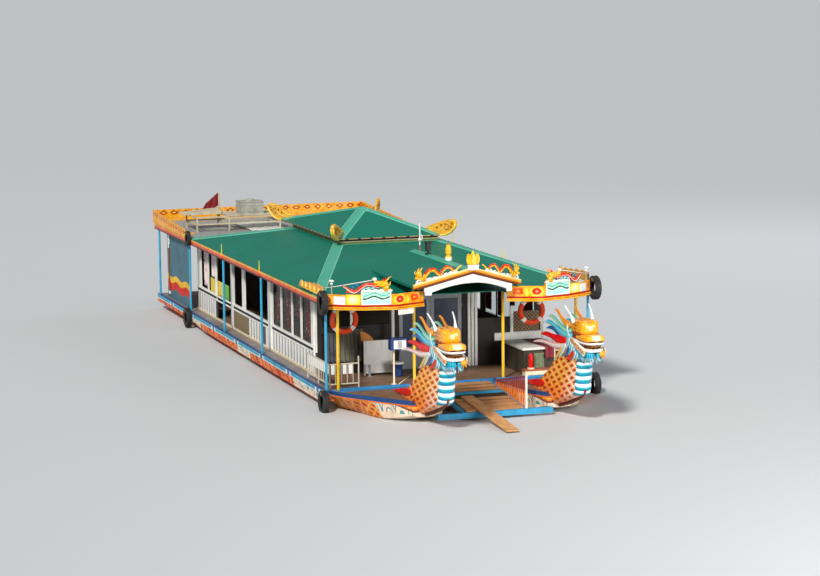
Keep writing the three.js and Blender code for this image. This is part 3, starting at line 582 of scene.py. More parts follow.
# the foredeck's edge from the deck to the neck: x, outer y, inner y
foredeck_edge = [(7.0, 3.22, 0.81), (7.2, 3.21, 0.81), (7.6, 3.05, 0.81), (8.0, 2.79, 0.82), (8.4, 2.52, 0.9),
                 (8.8, 2.22, 1.06), (9.2, 1.92, 1.28)]
gunwale_paint = painted("gunwale_paint", (0.006, 0.06, 0.22), gloss=0.3, coat=0.3)
inner_gunwale_paint = painted("light_gunwale_paint", (0.1, 0.46, 0.68), gloss=0.35, coat=0.2)
for side, sign in (("port", 1), ("starboard", -1)):
    outer = [(x, sign * (y - 0.02), 0.475) for x, y, _ in foredeck_edge]
    inner = [(x, sign * (y + 0.02), 0.475) for x, _, y in foredeck_edge]
    inboard = [(x, sign * (y - 0.13 - 0.02 * (x - 7)), 0.466) for x, y, _ in foredeck_edge[:-2]]
    for name, path, radius, finish in (("outer", outer, 0.036, gunwale_paint),
                                       ("inner", inner, 0.03, gunwale_paint),
                                       ("strip", inboard, 0.018, inner_gunwale_paint)):
        grown(f"gunwale_{name}_{side}", bar_tree, wires(path), finish,
              {"Radius": radius, "Sides": 12, "Fineness": 6}, smooth=True)


# Rub rails and their skirts
# A deep steel box runs along each side under the deck edge, dark blue on top, with long sky blue panels
# framed in white. A thin painted skirt is welded under its outer edge, orange with flames between clouds.
def rail_paint():
    material = new_material("rail_paint")
    x, y, z = spread(material)
    cell = calc("FRACT", (x + 26.8) / 2.55)
    frame_line = within(cell, 0.02, 0.94) * within(z, 0.322, 0.425)
    panel = within(cell, 0.06, 0.89) * within(z, 0.34, 0.425)
    groove = within(cell, 0.1, 0.89) * within(z, 0.372, 0.391)
    colour = mixed(frame_line, (0.03, 0.2, 0.42), (0.82, 0.84, 0.8))
    colour = mixed(panel, colour, (0.07, 0.5, 0.72))
    colour = mixed(groove, colour, (0.008, 0.09, 0.22))
    band, _ = side_band(material, x, z, add_node(material, "CombineXYZ", {"X": x, "Y": z})[0])
    colour = mixed(z < 0.322, colour, band)
    colour = mixed(z < 0.145, colour, (0.3, 0.02, 0.01))
    edge = abs(y) > 3.19
    top = mixed(edge, (0.25, 0.215, 0.22), (0.015, 0.07, 0.24))
    colour = mixed(z > 0.428, colour, top)
    return weathered(material, colour, dirt=0.4, gloss=0.4)


rail_finish = rail_paint()
dress(rail_finish, "rub_rail_port", "rub_rail_starboard")
skirt_outline = [(-6.25, 0.219), (-5.2, 0.13), (-3.6, 0.118), (6.6, 0.118), (6.98, 0.16), (6.98, 0.219)]
for side, low, high in (("port", 3.24, 3.262), ("starboard", -3.262, -3.24)):
    piece(f"rail_skirt_{side}", plate(skirt_outline, low, high), rail_finish, slot="painted_hull",
          bevel=0.003)


# Landing between the bows
# Sky blue beams carry weathered cross planks down from the deck to the beam under the dragons' feet, with
# red pickets on the port edge. A loose plank lies on it and out over the water.
def plank_wood(name, light, dark, along="x", dirt=0.35):
    material = new_material(name)
    place = add_node(material, "TexCoord")["Object"]
    stretch = (1.2, 14.0, 14.0) if along == "x" else (14.0, 1.2, 14.0)
    drawn = add_node(material, "Mapping", {"Vector": place, "Scale": stretch})[0]
    fibre = noise(material, 2.2, 8.0, 0.65, at=drawn)
    rings = add_node(material, "TexWave", {"Vector": drawn, "Scale": 0.5, "Distortion": 7.0, "Detail": 3.0,
                                           "Detail Scale": 1.6})["Fac"]
    colour = mixed((fibre + rings) * 0.5, dark, light)
    return weathered(material, colour, dirt=dirt, gloss=0.62, size=2.0, relief=fibre, bump=0.4)


def boards_paint():
    """Planks of slightly different browns with open joints; one painted blue, and a near black one, painted
    shade for a gap.
    """
    material = new_material("landing_boards_paint")
    x, y, z = spread(material)
    drawn = add_node(material, "Mapping", {"Vector": add_node(material, "TexCoord")["Object"],
                                           "Scale": (14.0, 1.2, 14.0)})[0]
    fibre = noise(material, 2.2, 8.0, 0.65, at=drawn)
    along = (x - 7.064) / 0.249
    board = calc("FLOOR", along)
    tone = add_node(material, "TexWhiteNoise", {"Vector": add_node(material, "CombineXYZ", {"X": board})[0]})
    colour = mixed((fibre + tone["Value"]) * 0.5, (0.3, 0.13, 0.055), (0.66, 0.34, 0.15))
    colour = mixed(within(board, 2.5, 3.5), colour, (0.03, 0.3, 0.52))
    # the near black board stands for the dark gap behind the blue beam: painted shade
    colour = mixed(within(board, 3.5, 4.5), colour, (0.035, 0.022, 0.016))
    joint = within(calc("FRACT", along), 0.07, 0.95)
    return weathered(material, mixed(joint, (0.02, 0.012, 0.01), colour), dirt=0.3, gloss=0.6, relief=fibre,
                     bump=0.4)


board_wood = boards_paint()
dress(board_wood, "landing_boards")
dress(plank_wood("plank_wood", (0.76, 0.44, 0.21), (0.5, 0.25, 0.1), "x", 0.2), "boarding_plank")
dress(painted("landing_blue", (0.02, 0.3, 0.55), dirt=0.5, gloss=0.4), "landing_frame")


def picket_paint():
    material = new_material("picket_paint")
    x, y, z = spread(material)
    upper = ease(x * -0.05 + z, 0.1, 0.16)
    colour = mixed(upper, (0.86, 0.22, 0.03), (0.3, 0.015, 0.012))
    colour = mixed(x > 9.29, colour, (0.82, 0.8, 0.74))
    return weathered(material, colour, dirt=0.3, gloss=0.35)


dress(picket_paint(), "landing_rail")


# Dragons' necks
# Each neck is a hollow built on the foredeck, scaled on its flanks in raised plates with cream edges and
# dark eyes. A red leaf of board covers the mane's tail, and a brown stem bar runs down under the breast.
neck_sections = [
    # mane x, z; breast x, z
    (7.75, 0.452, 9.2, 0.225), (8.05, 0.57, 9.62, 0.34), (8.4, 0.74, 10.05, 0.48), (8.72, 0.93, 10.45, 0.605),
    (8.98, 1.1, 10.63, 0.76), (9.2, 1.27, 10.62, 0.94), (9.42, 1.44, 10.66, 1.14), (9.64, 1.6, 10.69, 1.33),
    (9.86, 1.7, 10.7, 1.5), (10.08, 1.755, 10.68, 1.635)]
neck_half = 0.222
mid = 1.6  # each neck's distance from the boat's middle line


def between(table, t):
    """A row of the table at t from 0 to 1, eased by a curve through its rows."""
    place = t * (len(table) - 1)
    i = min(int(place), len(table) - 2)
    f = place - i
    rows = [table[max(i - 1, 0)], table[i], table[i + 1], table[min(i + 2, len(table) - 1)]]
    return [0.5 * (2 * b + (c - a) * f + (2 * a - 5 * b + 4 * c - d) * f * f + (3 * b - 3 * c + d - a)
                   * f ** 3) for a, b, c, d in zip(*rows)]


def power(value, exponent):
    return math.copysign(abs(value) ** exponent, value)


def neck_point(t, turn, lift=0.0):
    """On the neck's skin: t up the neck, turn round it from the breast (0) by port (pi / 2) to the mane."""
    bx, bz, fx, fz = between(neck_sections, t)
    cx, cz, rx, rz = (bx + fx) / 2, (bz + fz) / 2, (fx - bx) / 2, (fz - bz) / 2
    long = hypot(rx, rz)
    c, s = power(cos(turn), 0.62), power(sin(turn), 0.62)
    grow = (long + lift) / long
    y = mid + (neck_half + lift) * s
    return cx + rx * c * grow, y, cz + rz * c * grow


def neck_skin(rows, count):
    rings = []
    for i in range(rows + 1):
        ring = []
        for j in range(count):
            turn = 2 * pi * j / count
            x, y, z = neck_point(i / rows, turn)
            u = 2.4 * x - 1.75 * z + 4.4 * (neck_half - abs(y - mid)) + 0.28
            v = 5.39 * z - 0.357 * x + 0.19
            a, b = (u + v) % 1 - 0.5, (u - v) % 1 - 0.5
            dome = 1 - (2 * max(abs(a), abs(b))) ** 3
            ring.append(neck_point(i / rows, turn, -0.006 + 0.022 * dome))
        rings.append(ring)
    return skin(rings)


def neck_paint():
    material = new_material("neck_scales")
    x, y, z = spread(material)
    inward = neck_half - abs(abs(y) - mid)
    u = inward * 4.4 + (x * 2.4 + 0.28)
    u = z * -1.75 + u
    v = z * 5.39 + (x * -0.357 + 0.19)
    scales = use(material, net, U=u, V=v, Line=0.115, Eye=0.33)
    front = ease(z * -0.55 + x, 9.35, 9.95)
    low = ease(z, 0.95, 0.5)
    cell = mixed(low, (0.93, 0.27, 0.012), (0.9, 0.1, 0.01))
    cell = mixed(front * 0.45, cell, (0.9, 0.42, 0.22))
    cell = mixed(scales["Shade"] * 0.35, cell, (0.95, 0.4, 0.03))
    eye = mixed(front, (0.33, 0.022, 0.006), (0.34, 0.008, 0.012))
    cell = mixed(scales["Eye"], cell, eye)
    lines = mixed(low, (0.96, 0.6, 0.18), (0.95, 0.38, 0.07))
    lines = mixed(front, lines, (0.94, 0.86, 0.78))
    colour = mixed(scales["Line"], cell, lines)
    return weathered(material, colour, dirt=0.16, gloss=0.26, bump=0.2)


neck_finish = neck_paint()
neck_form = neck_skin(190, 132)
stem_bar = tube([(8.75, mid, 0.02), (9.0, mid, 0.13), (9.2, mid, 0.19), (9.8, mid, 0.36), (10.3, mid, 0.53),
                 (10.56, mid, 0.65), (10.7, mid, 0.78)], lambda t: 0.045 - 0.02 * abs(2 * t - 1), 12)
tail_leaf = plate([(8.82, 0.67), (8.6, 0.705), (8.3, 0.67), (8.0, 0.6), (7.5, 0.49), (7.95, 0.49),
                   (8.35, 0.52), (8.6, 0.54), (8.8, 0.6)], mid - 0.245, mid - 0.222)
tail_leaf = together(tail_leaf, bent_by(tail_leaf, lambda x, y, z: (x, 2 * mid - y, z)))
stem_brown = plank_wood("stem_brown", (0.22, 0.05, 0.02), (0.08, 0.018, 0.01), "x", 0.3)
tail_red = painted("tail_red", (0.8, 0.012, 0.012), dirt=0.12, gloss=0.25)
both("neck", neck_form, neck_finish, slot="painted_hull", smooth=True, replaces="dragon_neck")
both("stem_bar", stem_bar, stem_brown, slot="painted_hull", smooth=True)
both("tail_leaf", tail_leaf, tail_red, slot="painted_hull", bevel=0.006)


# Dragons' breasts
# Curved bands of sheet, one above the other down the breast, bulge a little and are painted teal along
# their lower edge and white above; the teal darkens towards each band's lower edge as painted shade.
def breast_paint():
    material = new_material("breast_bands")
    uv = add_node(material, "UVMap", uv_map="place")[0]
    v = add_node(material, "SeparateXYZ", {0: uv})[1]
    part = calc("FRACT", v)
    # teal darkening towards the band's lower edge, where the bulge turns under: painted shade
    shade = ease(part, 0.04, 0.5)
    band = mixed(shade, (0.012, 0.2, 0.36), (0.01, 0.36, 0.46))
    band = mixed(ease(part, 0.48, 0.57), band, (0.16, 0.58, 0.66))
    white = ease(part, 0.58, 0.66)
    colour = mixed(white, band, (0.86, 0.9, 0.92))
    colour = mixed(part > 0.955, colour, (0.3, 0.55, 0.62))
    return weathered(material, colour, dirt=0.12, gloss=0.25)


breast_finish = breast_paint()
band_rows, band_count, band_width = 13, 6, 22
breast_low, breast_high = 0.347, 0.926
points, faces, places = [], [], []
for i in range(band_rows * band_count + 1):
    v = i / band_rows
    t = breast_low + (breast_high - breast_low) * v / band_count
    for j in range(band_width + 1):
        turn = (j / band_width - 0.5) * 1.42
        puff = 0.016 + 0.024 * abs(sin(pi * (v % 1))) ** 0.5 * cos(turn) ** 0.4
        points.append(neck_point(t, turn, puff))
        places.append((turn, v))
for i in range(band_rows * band_count):
    for j in range(band_width):
        a = i * (band_width + 1) + j
        faces.append((a, a + 1, a + band_width + 2, a + band_width + 1))
for made in both("breast", (points, faces, places), breast_finish, smooth=True, slot="painted_hull"):
    thick = made.modifiers.new("sheet", "SOLIDIFY")
    thick.thickness, thick.offset = 0.03, -1


# Dragons' heads
# The heads are built up in sheet and filler and painted in gloss: an orange brow with two domes, a broad
# snout, an open jaw with teeth and tongue, a teal beard, white horns, and waving flames for a mane.
def blob(centre, radii, blunt=0.8, rings=18, count=28, rule=None):
    """Rounded body; blunt below 1 makes it boxy."""
    cx, cy, cz = centre
    rx, ry, rz = radii
    points, faces = [], []
    for i in range(1, rings):
        b = pi * i / rings - pi / 2
        for j in range(count):
            a = 2 * pi * j / count
            x = power(cos(b), blunt) * power(cos(a), blunt)
            y = power(cos(b), blunt) * power(sin(a), blunt)
            p = cx + rx * x, cy + ry * y, cz + rz * power(sin(b), blunt)
            points.append(rule(*p) if rule else p)
    for i in range(rings - 2):
        for j in range(count):
            k = (j + 1) % count
            faces.append((i * count + j, i * count + k, (i + 1) * count + k, (i + 1) * count + j))
    for end, row in ((-1, 0), (1, rings - 2)):
        p = (cx, cy, cz + rz * end)
        points.append(rule(*p) if rule else p)
        for j in range(count):
            k = (j + 1) % count
            faces.append((len(points) - 1, row * count + k, row * count + j)[::end])
    return points, faces


def ribbon(root, tip, width, thick, waves, swing, splay, y, taper=0.4):
    """Waving blade from root to tip (x, z), rounded like carved board, with its place along and across."""
    (x0, z0), (x1, z1) = root, tip
    length = hypot(x1 - x0, z1 - z0)
    ux, uz = (x1 - x0) / length, (z1 - z0) / length
    rings, places, steps, corners = [], [], 30, 14
    for i in range(steps + 1):
        t = i / steps
        off = swing * sin(t * pi * 2 * waves) * (0.5 + 0.5 * t)
        px, pz = x0 + ux * length * t - uz * off, z0 + uz * length * t + ux * off
        half = max(width / 2 * min(1, (1 - t) / taper) ** 0.8 * (0.8 + 0.2 * sin(7 * t)), 0.004)
        deep = max(thick / 2 * (1 - t) ** 0.35, 0.004)
        ring = []
        for k in range(corners):
            a = 2 * pi * k / corners
            w, d = power(cos(a), 0.9) * half, power(sin(a), 0.9) * deep
            ring.append((px - uz * w, mid + y + splay * length * t + d, pz + ux * w))
            places.append((t, 0.5 + 0.5 * cos(a)))
        rings.append(ring)
    points, faces = skin(rings)
    return points, faces, places + [(0.0, 0.5)] * (len(points) - len(places))


def ribbon_paint(name, base, middle, edge, stripes=1.0):
    """Gloss colours lengthwise: base, a paler middle and a pale upper edge."""
    material = new_material(name)
    parts = add_node(material, "SeparateXYZ", {0: add_node(material, "UVMap", uv_map="place")[0]})
    u, v = parts[0], parts[1]
    wander = noise(material, 9.0)
    v = wander * 0.16 + (v - 0.08)
    lines = abs(calc("SINE", v * (pi * stripes)))
    colour = mixed(ease(lines, 0.55, 0.95), base, middle)
    colour = mixed(ease(v, 0.84, 0.92), colour, edge)
    colour = mixed(ease(u, 0.82, 0.98), colour, edge)
    return weathered(material, colour, dirt=0.1, gloss=0.22)


def brow_shape(x, y, z):
    """Boxy brow with a groove between its two domes, lower at the back."""
    aside = abs(y - mid)
    high = min(1, max(0, (z - 2.14) / 0.16))
    groove = 0.05 * math.exp(-(aside / 0.035) ** 2) * high * min(1, max(0, (x - 10.3) / 0.2))
    back = max(0, 10.45 - x)
    return x, y, z - groove - 0.45 * back * max(0, z - 2.02)


def dotted_paint(name, base, dark, dots, size=22.0):
    """Gloss colour with rows of small dark spots where the mask says."""
    material = new_material(name)
    place = add_node(material, "TexCoord")["Object"]
    x, y, z = spread(material)
    spots = add_node(material, "TexVoronoi", {"Vector": place, "Scale": size, "Randomness": 0.55})["Distance"]
    spot = ease(spots, 0.4, 0.35)
    where = ease(x, dots[1], dots[0])
    low = ease(z, 2.12, 1.9)
    colour = mixed(low, base, tuple((0.86 * c for c in base)))
    colour = mixed(spot * where, colour, dark)
    shade(material, Coat_Weight=0.5, Coat_Roughness=0.12)
    return weathered(material, colour, dirt=0.12, gloss=0.22)


def snout_paint():
    """Orange with a cream patch in front and dark nostril scallops beside it."""
    material = new_material("snout_orange")
    x, y, z = spread(material)
    aside = abs(abs(y) - mid)
    fore = ease(x, 11.02, 11.26)
    flow = noise(material, 11.0)
    colour = mixed(flow, (0.9, 0.34, 0.02), (0.93, 0.48, 0.05))
    patch = ease(flow * 0.06 + aside, 0.145, 0.095)
    colour = mixed(patch * fore, colour, (0.9, 0.8, 0.52))
    low = ease(z, 1.975, 1.955)
    colour = mixed(low, colour, (0.86, 0.3, 0.02))
    return weathered(material, colour, dirt=0.1, gloss=0.2)


head_orange = dotted_paint("head_orange", (0.92, 0.36, 0.012), (0.14, 0.02, 0.005), (10.7, 10.95), 14.0)
snout_orange = snout_paint()
lip_white = painted("lip_white", (0.86, 0.86, 0.84), dirt=0.1, gloss=0.22)
mouth_tan = painted("mouth_tan", (0.46, 0.2, 0.07), dirt=0.3, gloss=0.35)
tooth_white = painted("tooth_white", (0.8, 0.62, 0.4), dirt=0.1, gloss=0.25)
crease_paint_and_shadow = painted("crease_paint_and_shadow", (0.3, 0.03, 0.008), dirt=0.15, gloss=0.3)
# pale yellow of the forehead pearl, partly a painted highlight of the sun's glint on the brow
pearl_and_painted_glint = painted("pearl_and_painted_glint", (0.93, 0.84, 0.42), dirt=0.05, gloss=0.15)
nostril_black = painted("nostril_black", (0.02, 0.012, 0.01), dirt=0.05, gloss=0.2)
horn_white = painted("horn_white", (0.86, 0.87, 0.86), dirt=0.08, gloss=0.2)
cheek_orange = dotted_paint("cheek_orange", (0.9, 0.58, 0.26), (0.62, 0.12, 0.02), (11.5, 11.9), 16.0)
chin_orange = painted("chin_orange", (0.86, 0.34, 0.03), dirt=0.12, gloss=0.22)


def beard_paint():
    material = new_material("beard_teal")
    x, y, z = spread(material)
    strokes = calc("SINE", (y + x * 1.4) * 88.0)
    stroke = ease(strokes, 0.2, 0.9)
    low = ease(z, 1.6, 1.5)
    colour = mixed(stroke, (0.02, 0.4, 0.55), (0.006, 0.14, 0.26))
    colour = mixed((1.0 - stroke) * low, colour, (0.62, 0.86, 0.9))
    return weathered(material, colour, dirt=0.12, gloss=0.28, relief=strokes, bump=0.3)


beard_finish = beard_paint()

# every part of the port head; the starboard one mirrors it, save the chin's ball, which is to port on both
mouth_back = 10.45


def lip_line(z, reach, half, radius, wave=0.0, back=0.0):
    path = []
    for i in range(45):
        a = pi * (i / 44 - 0.5)
        x = mouth_back + reach * power(cos(a), 0.5)
        path.append((x, mid + half * power(sin(a), 0.5), z + wave * cos(4 * a) + back * max(0, 10.9 - x)))
    return tube(path, radius, 10)


def jaw_rise(x, y, z):
    return x, y, z + 0.27 * max(0, 11.15 - x)


brow = together(
    blob((10.6, mid, 2.19), (0.375, 0.232, 0.168), 0.42, 30, 44, brow_shape),
    blob((10.3, mid, 2.08), (0.12, 0.215, 0.15), 0.5),
    *(blob((10.72, mid + s * 0.115, 2.3), (0.21, 0.1, 0.062), 0.75) for s in (-1, 1)))
# dark red-brown line between brow and snout: dark paint and painted shadow of the crease
crease = lip_line(2.048, 0.545, 0.24, 0.02)
snout = together(blob((10.93, mid, 1.988), (0.375, 0.238, 0.078), 0.45, 24, 44),
                 *(blob((11.17, mid + s * 0.1, 2.028), (0.115, 0.085, 0.05), 0.85) for s in (-1, 1)),
                 blob((11.2, mid, 2.02), (0.105, 0.06, 0.045), 0.85))
nostril_lines = [[(x, mid + s * y, z) for x, y, z in ((11.278, 0.045, 1.955), (11.313, 0.075, 1.94),
                                                       (11.308, 0.12, 1.935), (11.258, 0.165, 1.945))]
                 for s in (-1, 1)]
nostrils = together(*(tube(line, lambda t: 0.022 - 0.012 * abs(2 * t - 1), 10) for line in nostril_lines))
upper_lip = together(lip_line(1.903, 0.875, 0.243, 0.018, 0.003, 0.06),
                     lip_line(1.88, 0.83, 0.235, 0.013, 0.0, 0.06))
lower_lip = bent_by(together(lip_line(1.752, 0.83, 0.232, 0.022), lip_line(1.728, 0.82, 0.228, 0.02)),
                    jaw_rise)
mouth = together(blob((10.8, mid, 1.885), (0.47, 0.215, 0.03), 0.45),
                 blob((10.8, mid, 1.735), (0.46, 0.21, 0.035), 0.45),
                 blob((10.62, mid, 1.82), (0.4, 0.17, 0.085), 0.5))
tongue = bent_by(blob((10.98, mid, 1.79), (0.24, 0.13, 0.024), 0.6),
                 lambda x, y, z: (x, y, z + 0.4 * (x - 10.9) ** 2))
teeth = []
for z0, z1, reach_x, half_y in ((1.885, 1.85, 0.8, 0.222), (1.765, 1.79, 0.78, 0.215)):
    for i in range(19):
        a = pi * ((i + 0.5) / 19 - 0.5) * 0.96
        x, y = mouth_back + reach_x * power(cos(a), 0.5), mid + half_y * power(sin(a), 0.5)
        fang = 1.8 if i in (3, 15) else 1.0
        teeth.append(tube([(x, y, z0), (x - 0.004, y, (z0 + z1) / 2), (x - 0.01, y, z0 + (z1 - z0) * fang)],
                          lambda t: 0.015 * (1 - t) ** 0.6 + 0.001, 8))
teeth = together(*teeth)
# a pale pearl at the front of the brow where the sun glints: partly a painted highlight
pearl_face = blob((10.955, mid, 2.19), (0.028, 0.072, 0.066), 1.0)
horn_line = [(t, 10.55 - 0.12 * t - 0.27 * t * t, 2.27 + 0.345 * t) for t in (i / 16 for i in range(17))]
horns = together(*(tube([(x, mid + s * (0.215 + 0.075 * t), z) for t, x, z in horn_line],
                        lambda t: 0.022 + 0.03 * math.exp(-(t / 0.3) ** 2) - 0.006 * t, 14) for s in (-1, 1)))
cheek = bent_by(together(*(blob((10.8, mid + s * 0.242, 1.695), (0.43, 0.024, 0.06), 0.5) for s in (-1, 1))),
                jaw_rise)
rim_long = [[(10.4 + 0.8 * i / 8, mid + s * 0.252, 1.695 + high) for i in range(9)]
            for s in (-1, 1) for high in (0.062, -0.062)]
rim_back = [[(x, mid + s * y, z) for x, y, z in ((10.22, 0.24, 2.2), (10.25, 0.25, 2.1), (10.33, 0.252, 2.0),
                                                 (10.45, 0.252, 1.95))] for s in (-1, 1)]
cheek_rim = together(bent_by(together(*(tube(line, 0.011, 8) for line in rim_long)), jaw_rise),
                     *(tube(line, 0.015, 8) for line in rim_back))
strands = [(mouth_back + 0.76 * power(cos(a), 0.5), mid + 0.222 * power(sin(a), 0.5), 0.03 * cos(7 * a))
           for a in (pi * ((i + 0.5) / 30 - 0.5) for i in range(30))]
beard = together(*(tube([(x, y, 1.7), (x + 0.016, y, 1.62), (x + 0.006, y, 1.55),
                         (x - 0.02, y, 1.475 - drop)],
                        lambda t: 0.036 * (1 - 0.8 * t * t), 8) for x, y, drop in strands),
                 blob((10.78, mid, 1.66), (0.4, 0.205, 0.055), 0.5))
head_pieces = [("brow", brow, head_orange), ("crease", crease, crease_paint_and_shadow), ("snout", snout, snout_orange),
               ("upper_lip", upper_lip, lip_white), ("lower_lip", lower_lip, lip_white),
               ("mouth", mouth, mouth_tan), ("tongue", tongue, mouth_tan), ("teeth", teeth, tooth_white),
               ("forehead_pearl", pearl_face, pearl_and_painted_glint), ("nostrils", nostrils, nostril_black),
               ("horns", horns, horn_white), ("cheeks", cheek, cheek_orange),
               ("cheek_rims", cheek_rim, lip_white), ("beard", beard, beard_finish)]
for name, form, finish in head_pieces:
    both(name, form, finish, smooth=True, replaces="dragon_head" if name == "brow" else None)
for side in sides:
    port_of = (mid if side == "port" else -mid) + 0.15
    tails = (tube([(11.23 + 0.02 * k, port_of - 0.01 + 0.04 * k, 1.63),
                   (11.24 + 0.02 * k, port_of + 0.05 * k, 1.59), (11.24, port_of + 0.055 * k, 1.555)],
                  lambda t: 0.026 * (1 - t) + 0.004, 8) for k in (-1, 0, 1))
    piece(f"chin_ball_{side}", together(blob((11.25, port_of, 1.665), (0.062, 0.068, 0.066), 0.95), *tails),
          chin_orange, smooth=True)

# flames: name, root, tip, width, waves, swing, from the middle, splay, base, middle, edge colours
orange_tones = ((0.86, 0.24, 0.012), (0.93, 0.42, 0.03), (0.9, 0.55, 0.14))
flames = [("ear_flame", (10.33, 2.2), (9.42, 2.39), 0.125, 0.9, 0.06, 0.225, 0.0, *orange_tones),
          ("green_flame", (10.42, 2.07), (9.02, 2.22), 0.12, 1.0, 0.065, 0.236, 0.0, (0.06, 0.42, 0.3),
           (0.4, 0.74, 0.56), (0.82, 0.92, 0.88)),
          ("cyan_flame", (10.5, 2.0), (8.78, 2.05), 0.15, 1.0, 0.065, 0.24, 0.0, (0.02, 0.42, 0.58),
           (0.16, 0.64, 0.74), (0.74, 0.93, 0.95)),
          ("blue_flame", (10.3, 1.93), (8.9, 1.92), 0.12, 1.0, 0.06, 0.225, 0.0, (0.01, 0.05, 0.24),
           (0.015, 0.14, 0.46), (0.1, 0.42, 0.7)),
          ("red_flame", (10.16, 1.83), (8.63, 1.76), 0.155, 1.0, 0.03, 0.242, 0.0, (0.66, 0.008, 0.01),
           (0.86, 0.012, 0.012), (0.86, 0.05, 0.03)),
          ("pink_flame", (10.16, 1.72), (8.15, 1.5), 0.105, 1.0, 0.04, 0.242, 0.0, (0.82, 0.42, 0.38),
           (0.9, 0.8, 0.78), (0.92, 0.9, 0.9))]
for name, root, tip, width, waves, swing, y, splay, base, middle, edge in flames:
    finish = ribbon_paint(name + "_paint", base, middle, edge)
    both(name, together(*(ribbon(root, tip, width * 1.3, 0.045, waves, swing * 1.15, s * splay, s * y,
                                 taper=0.28) for s in (-1, 1))), finish, smooth=True)

# tufts behind the cheek and leaf spikes down the flank: root, tip (x, z), width
tufts = [((10.3, 2.02), (10.16, 1.74), 0.1), ((10.36, 1.94), (10.18, 1.64), 0.11),
         ((10.44, 1.86), (10.24, 1.58), 0.11), ((10.52, 1.8), (10.34, 1.52), 0.11),
         ((10.62, 1.74), (10.44, 1.48), 0.11), ((10.72, 1.68), (10.56, 1.46), 0.1),
         ((10.82, 1.63), (10.68, 1.47), 0.08)]
leaves = [("cream_leaf", (9.98, 1.66), (9.42, 1.28), 0.14, (0.62, 0.3, 0.03), (0.9, 0.62, 0.16),
           (0.92, 0.84, 0.5)),
          ("teal_leaf", (10.14, 1.72), (9.76, 1.38), 0.12, (0.3, 0.66, 0.66), (0.55, 0.84, 0.84),
           (0.86, 0.93, 0.93)),
          ("navy_leaf", (10.38, 1.68), (10.02, 1.43), 0.13, (0.008, 0.05, 0.22), (0.02, 0.14, 0.4),
           (0.2, 0.5, 0.7)),
          ("red_leaf", (10.66, 1.63), (10.16, 1.38), 0.115, (0.7, 0.012, 0.012), (0.8, 0.03, 0.02),
           (0.86, 0.2, 0.12))]
tuft_finish = ribbon_paint("tuft_paint", (0.03, 0.4, 0.52), (0.45, 0.8, 0.84), (0.86, 0.94, 0.95), 2)
tuft_form = together(*(ribbon(root, tip, width, 0.04, 0.5, 0.03, 0.0, s * (0.25 + 0.004 * (i % 2)))
                       for i, (root, tip, width) in enumerate(tufts) for s in (-1, 1)))
both("tufts", tuft_form, tuft_finish, smooth=True)
for i, (name, root, tip, width, base, middle, edge) in enumerate(leaves):
    finish = ribbon_paint(name + "_paint", base, middle, edge)
    both(name, together(*(ribbon(root, tip, width, 0.03, 0.5, 0.02, 0.0, s * (0.246 + 0.008 * i))
                          for s in (-1, 1))), finish, smooth=True)


# Cabin walls, windows and doors
# White painted posts stand between open or glazed windows, over a sill rail and white slats nailed on a grey
# backing; the near black strip in the sill rail's groove is painted shadow. Inside, the walls are painted
# near black as painted shade for the dark cabin, with red curtains gathered on wires.
def wall_paint(name, outside, inside):
    """Painted outside, and near black on every face that looks into the cabin: painted shade for its dark
    inside.
    """
    material = new_material(name)
    x, y, z = spread(material)
    box = within(x, -7.215, 4.815) * (abs(y) < 2.862)
    colour = mixed((z < 1.0) * (abs(y) > 2.84), outside, (0.07, 0.07, 0.07))
    return weathered(material, mixed(box, colour, inside), dirt=0.35, gloss=0.4, size=2.0)


white_paint = painted("white_wall_paint", (0.84, 0.84, 0.8), dirt=0.25, gloss=0.35, size=2.0)
# near black for the cabin's inner faces: painted shade
inside_painted_shade = (0.022, 0.013, 0.01)
dress(wall_paint("cabin_side_paint", (0.84, 0.84, 0.8), inside_painted_shade), "cabin_side_port",
      "cabin_side_starboard")
# the porch's front wall painted almost black: its own dark paint and painted shade under the porch roof
dress(painted("porch_wall_painted_shade", (0.018, 0.014, 0.013), dirt=0.2, gloss=0.6), "cabin_front_wall")
dress(wall_paint("rear_wall_paint", (0.34, 0.36, 0.35), inside_painted_shade), "cabin_rear_wall")
dress(painted("grey_wall", (0.34, 0.36, 0.35), dirt=0.5, gloss=0.5), "aft_roof_deck")
dress(white_paint, "deck_partition")


def door_paint():
    material = new_material("door_paint")
    x, y, z = spread(material)
    light = within(z, 1.0, 2.14) * within(abs(y), 0.095, 0.705)
    return weathered(material, mixed(light, (0.3, 0.33, 0.36), (0.01, 0.03, 0.075)), dirt=0.3, gloss=0.25)


dress(door_paint(), "front_door_port", "front_door_starboard")


def glass_finish():
    material = new_material("tinted_glass")
    smear = noise(material, 3.0, 6.0)
    rough = add_node(material, "MapRange", {"Value": smear, 1: 0.4, 2: 0.8, 3: 0.02, 4: 0.08})[0]
    shade(material, Base_Color=(0.7, 0.78, 0.78), Metallic=0.0, Transmission_Weight=1.0, IOR=1.06,
          Roughness=rough)
    return material


dress(glass_finish(), "window_glass_port", "window_glass_starboard")


def woven(name, light, dark, across="x"):
    """Wicker: strands over and under each other."""
    material = new_material(name)
    at = dict(zip("xyz", spread(material)))
    strands = [calc("SINE", at[a] * 70.0) for a in (across, "z")]
    weave = ease(calc("MULTIPLY", *strands), -0.5, 0.6)
    return weathered(material, mixed(weave, dark, light), dirt=0.3, gloss=0.6, relief=weave, bump=0.5)


rail_white = painted("side_rail_white", (0.86, 0.86, 0.82), dirt=0.2, gloss=0.35)
rail_cream = painted("wall_foot_cream", (0.78, 0.68, 0.48), dirt=0.3, gloss=0.4)
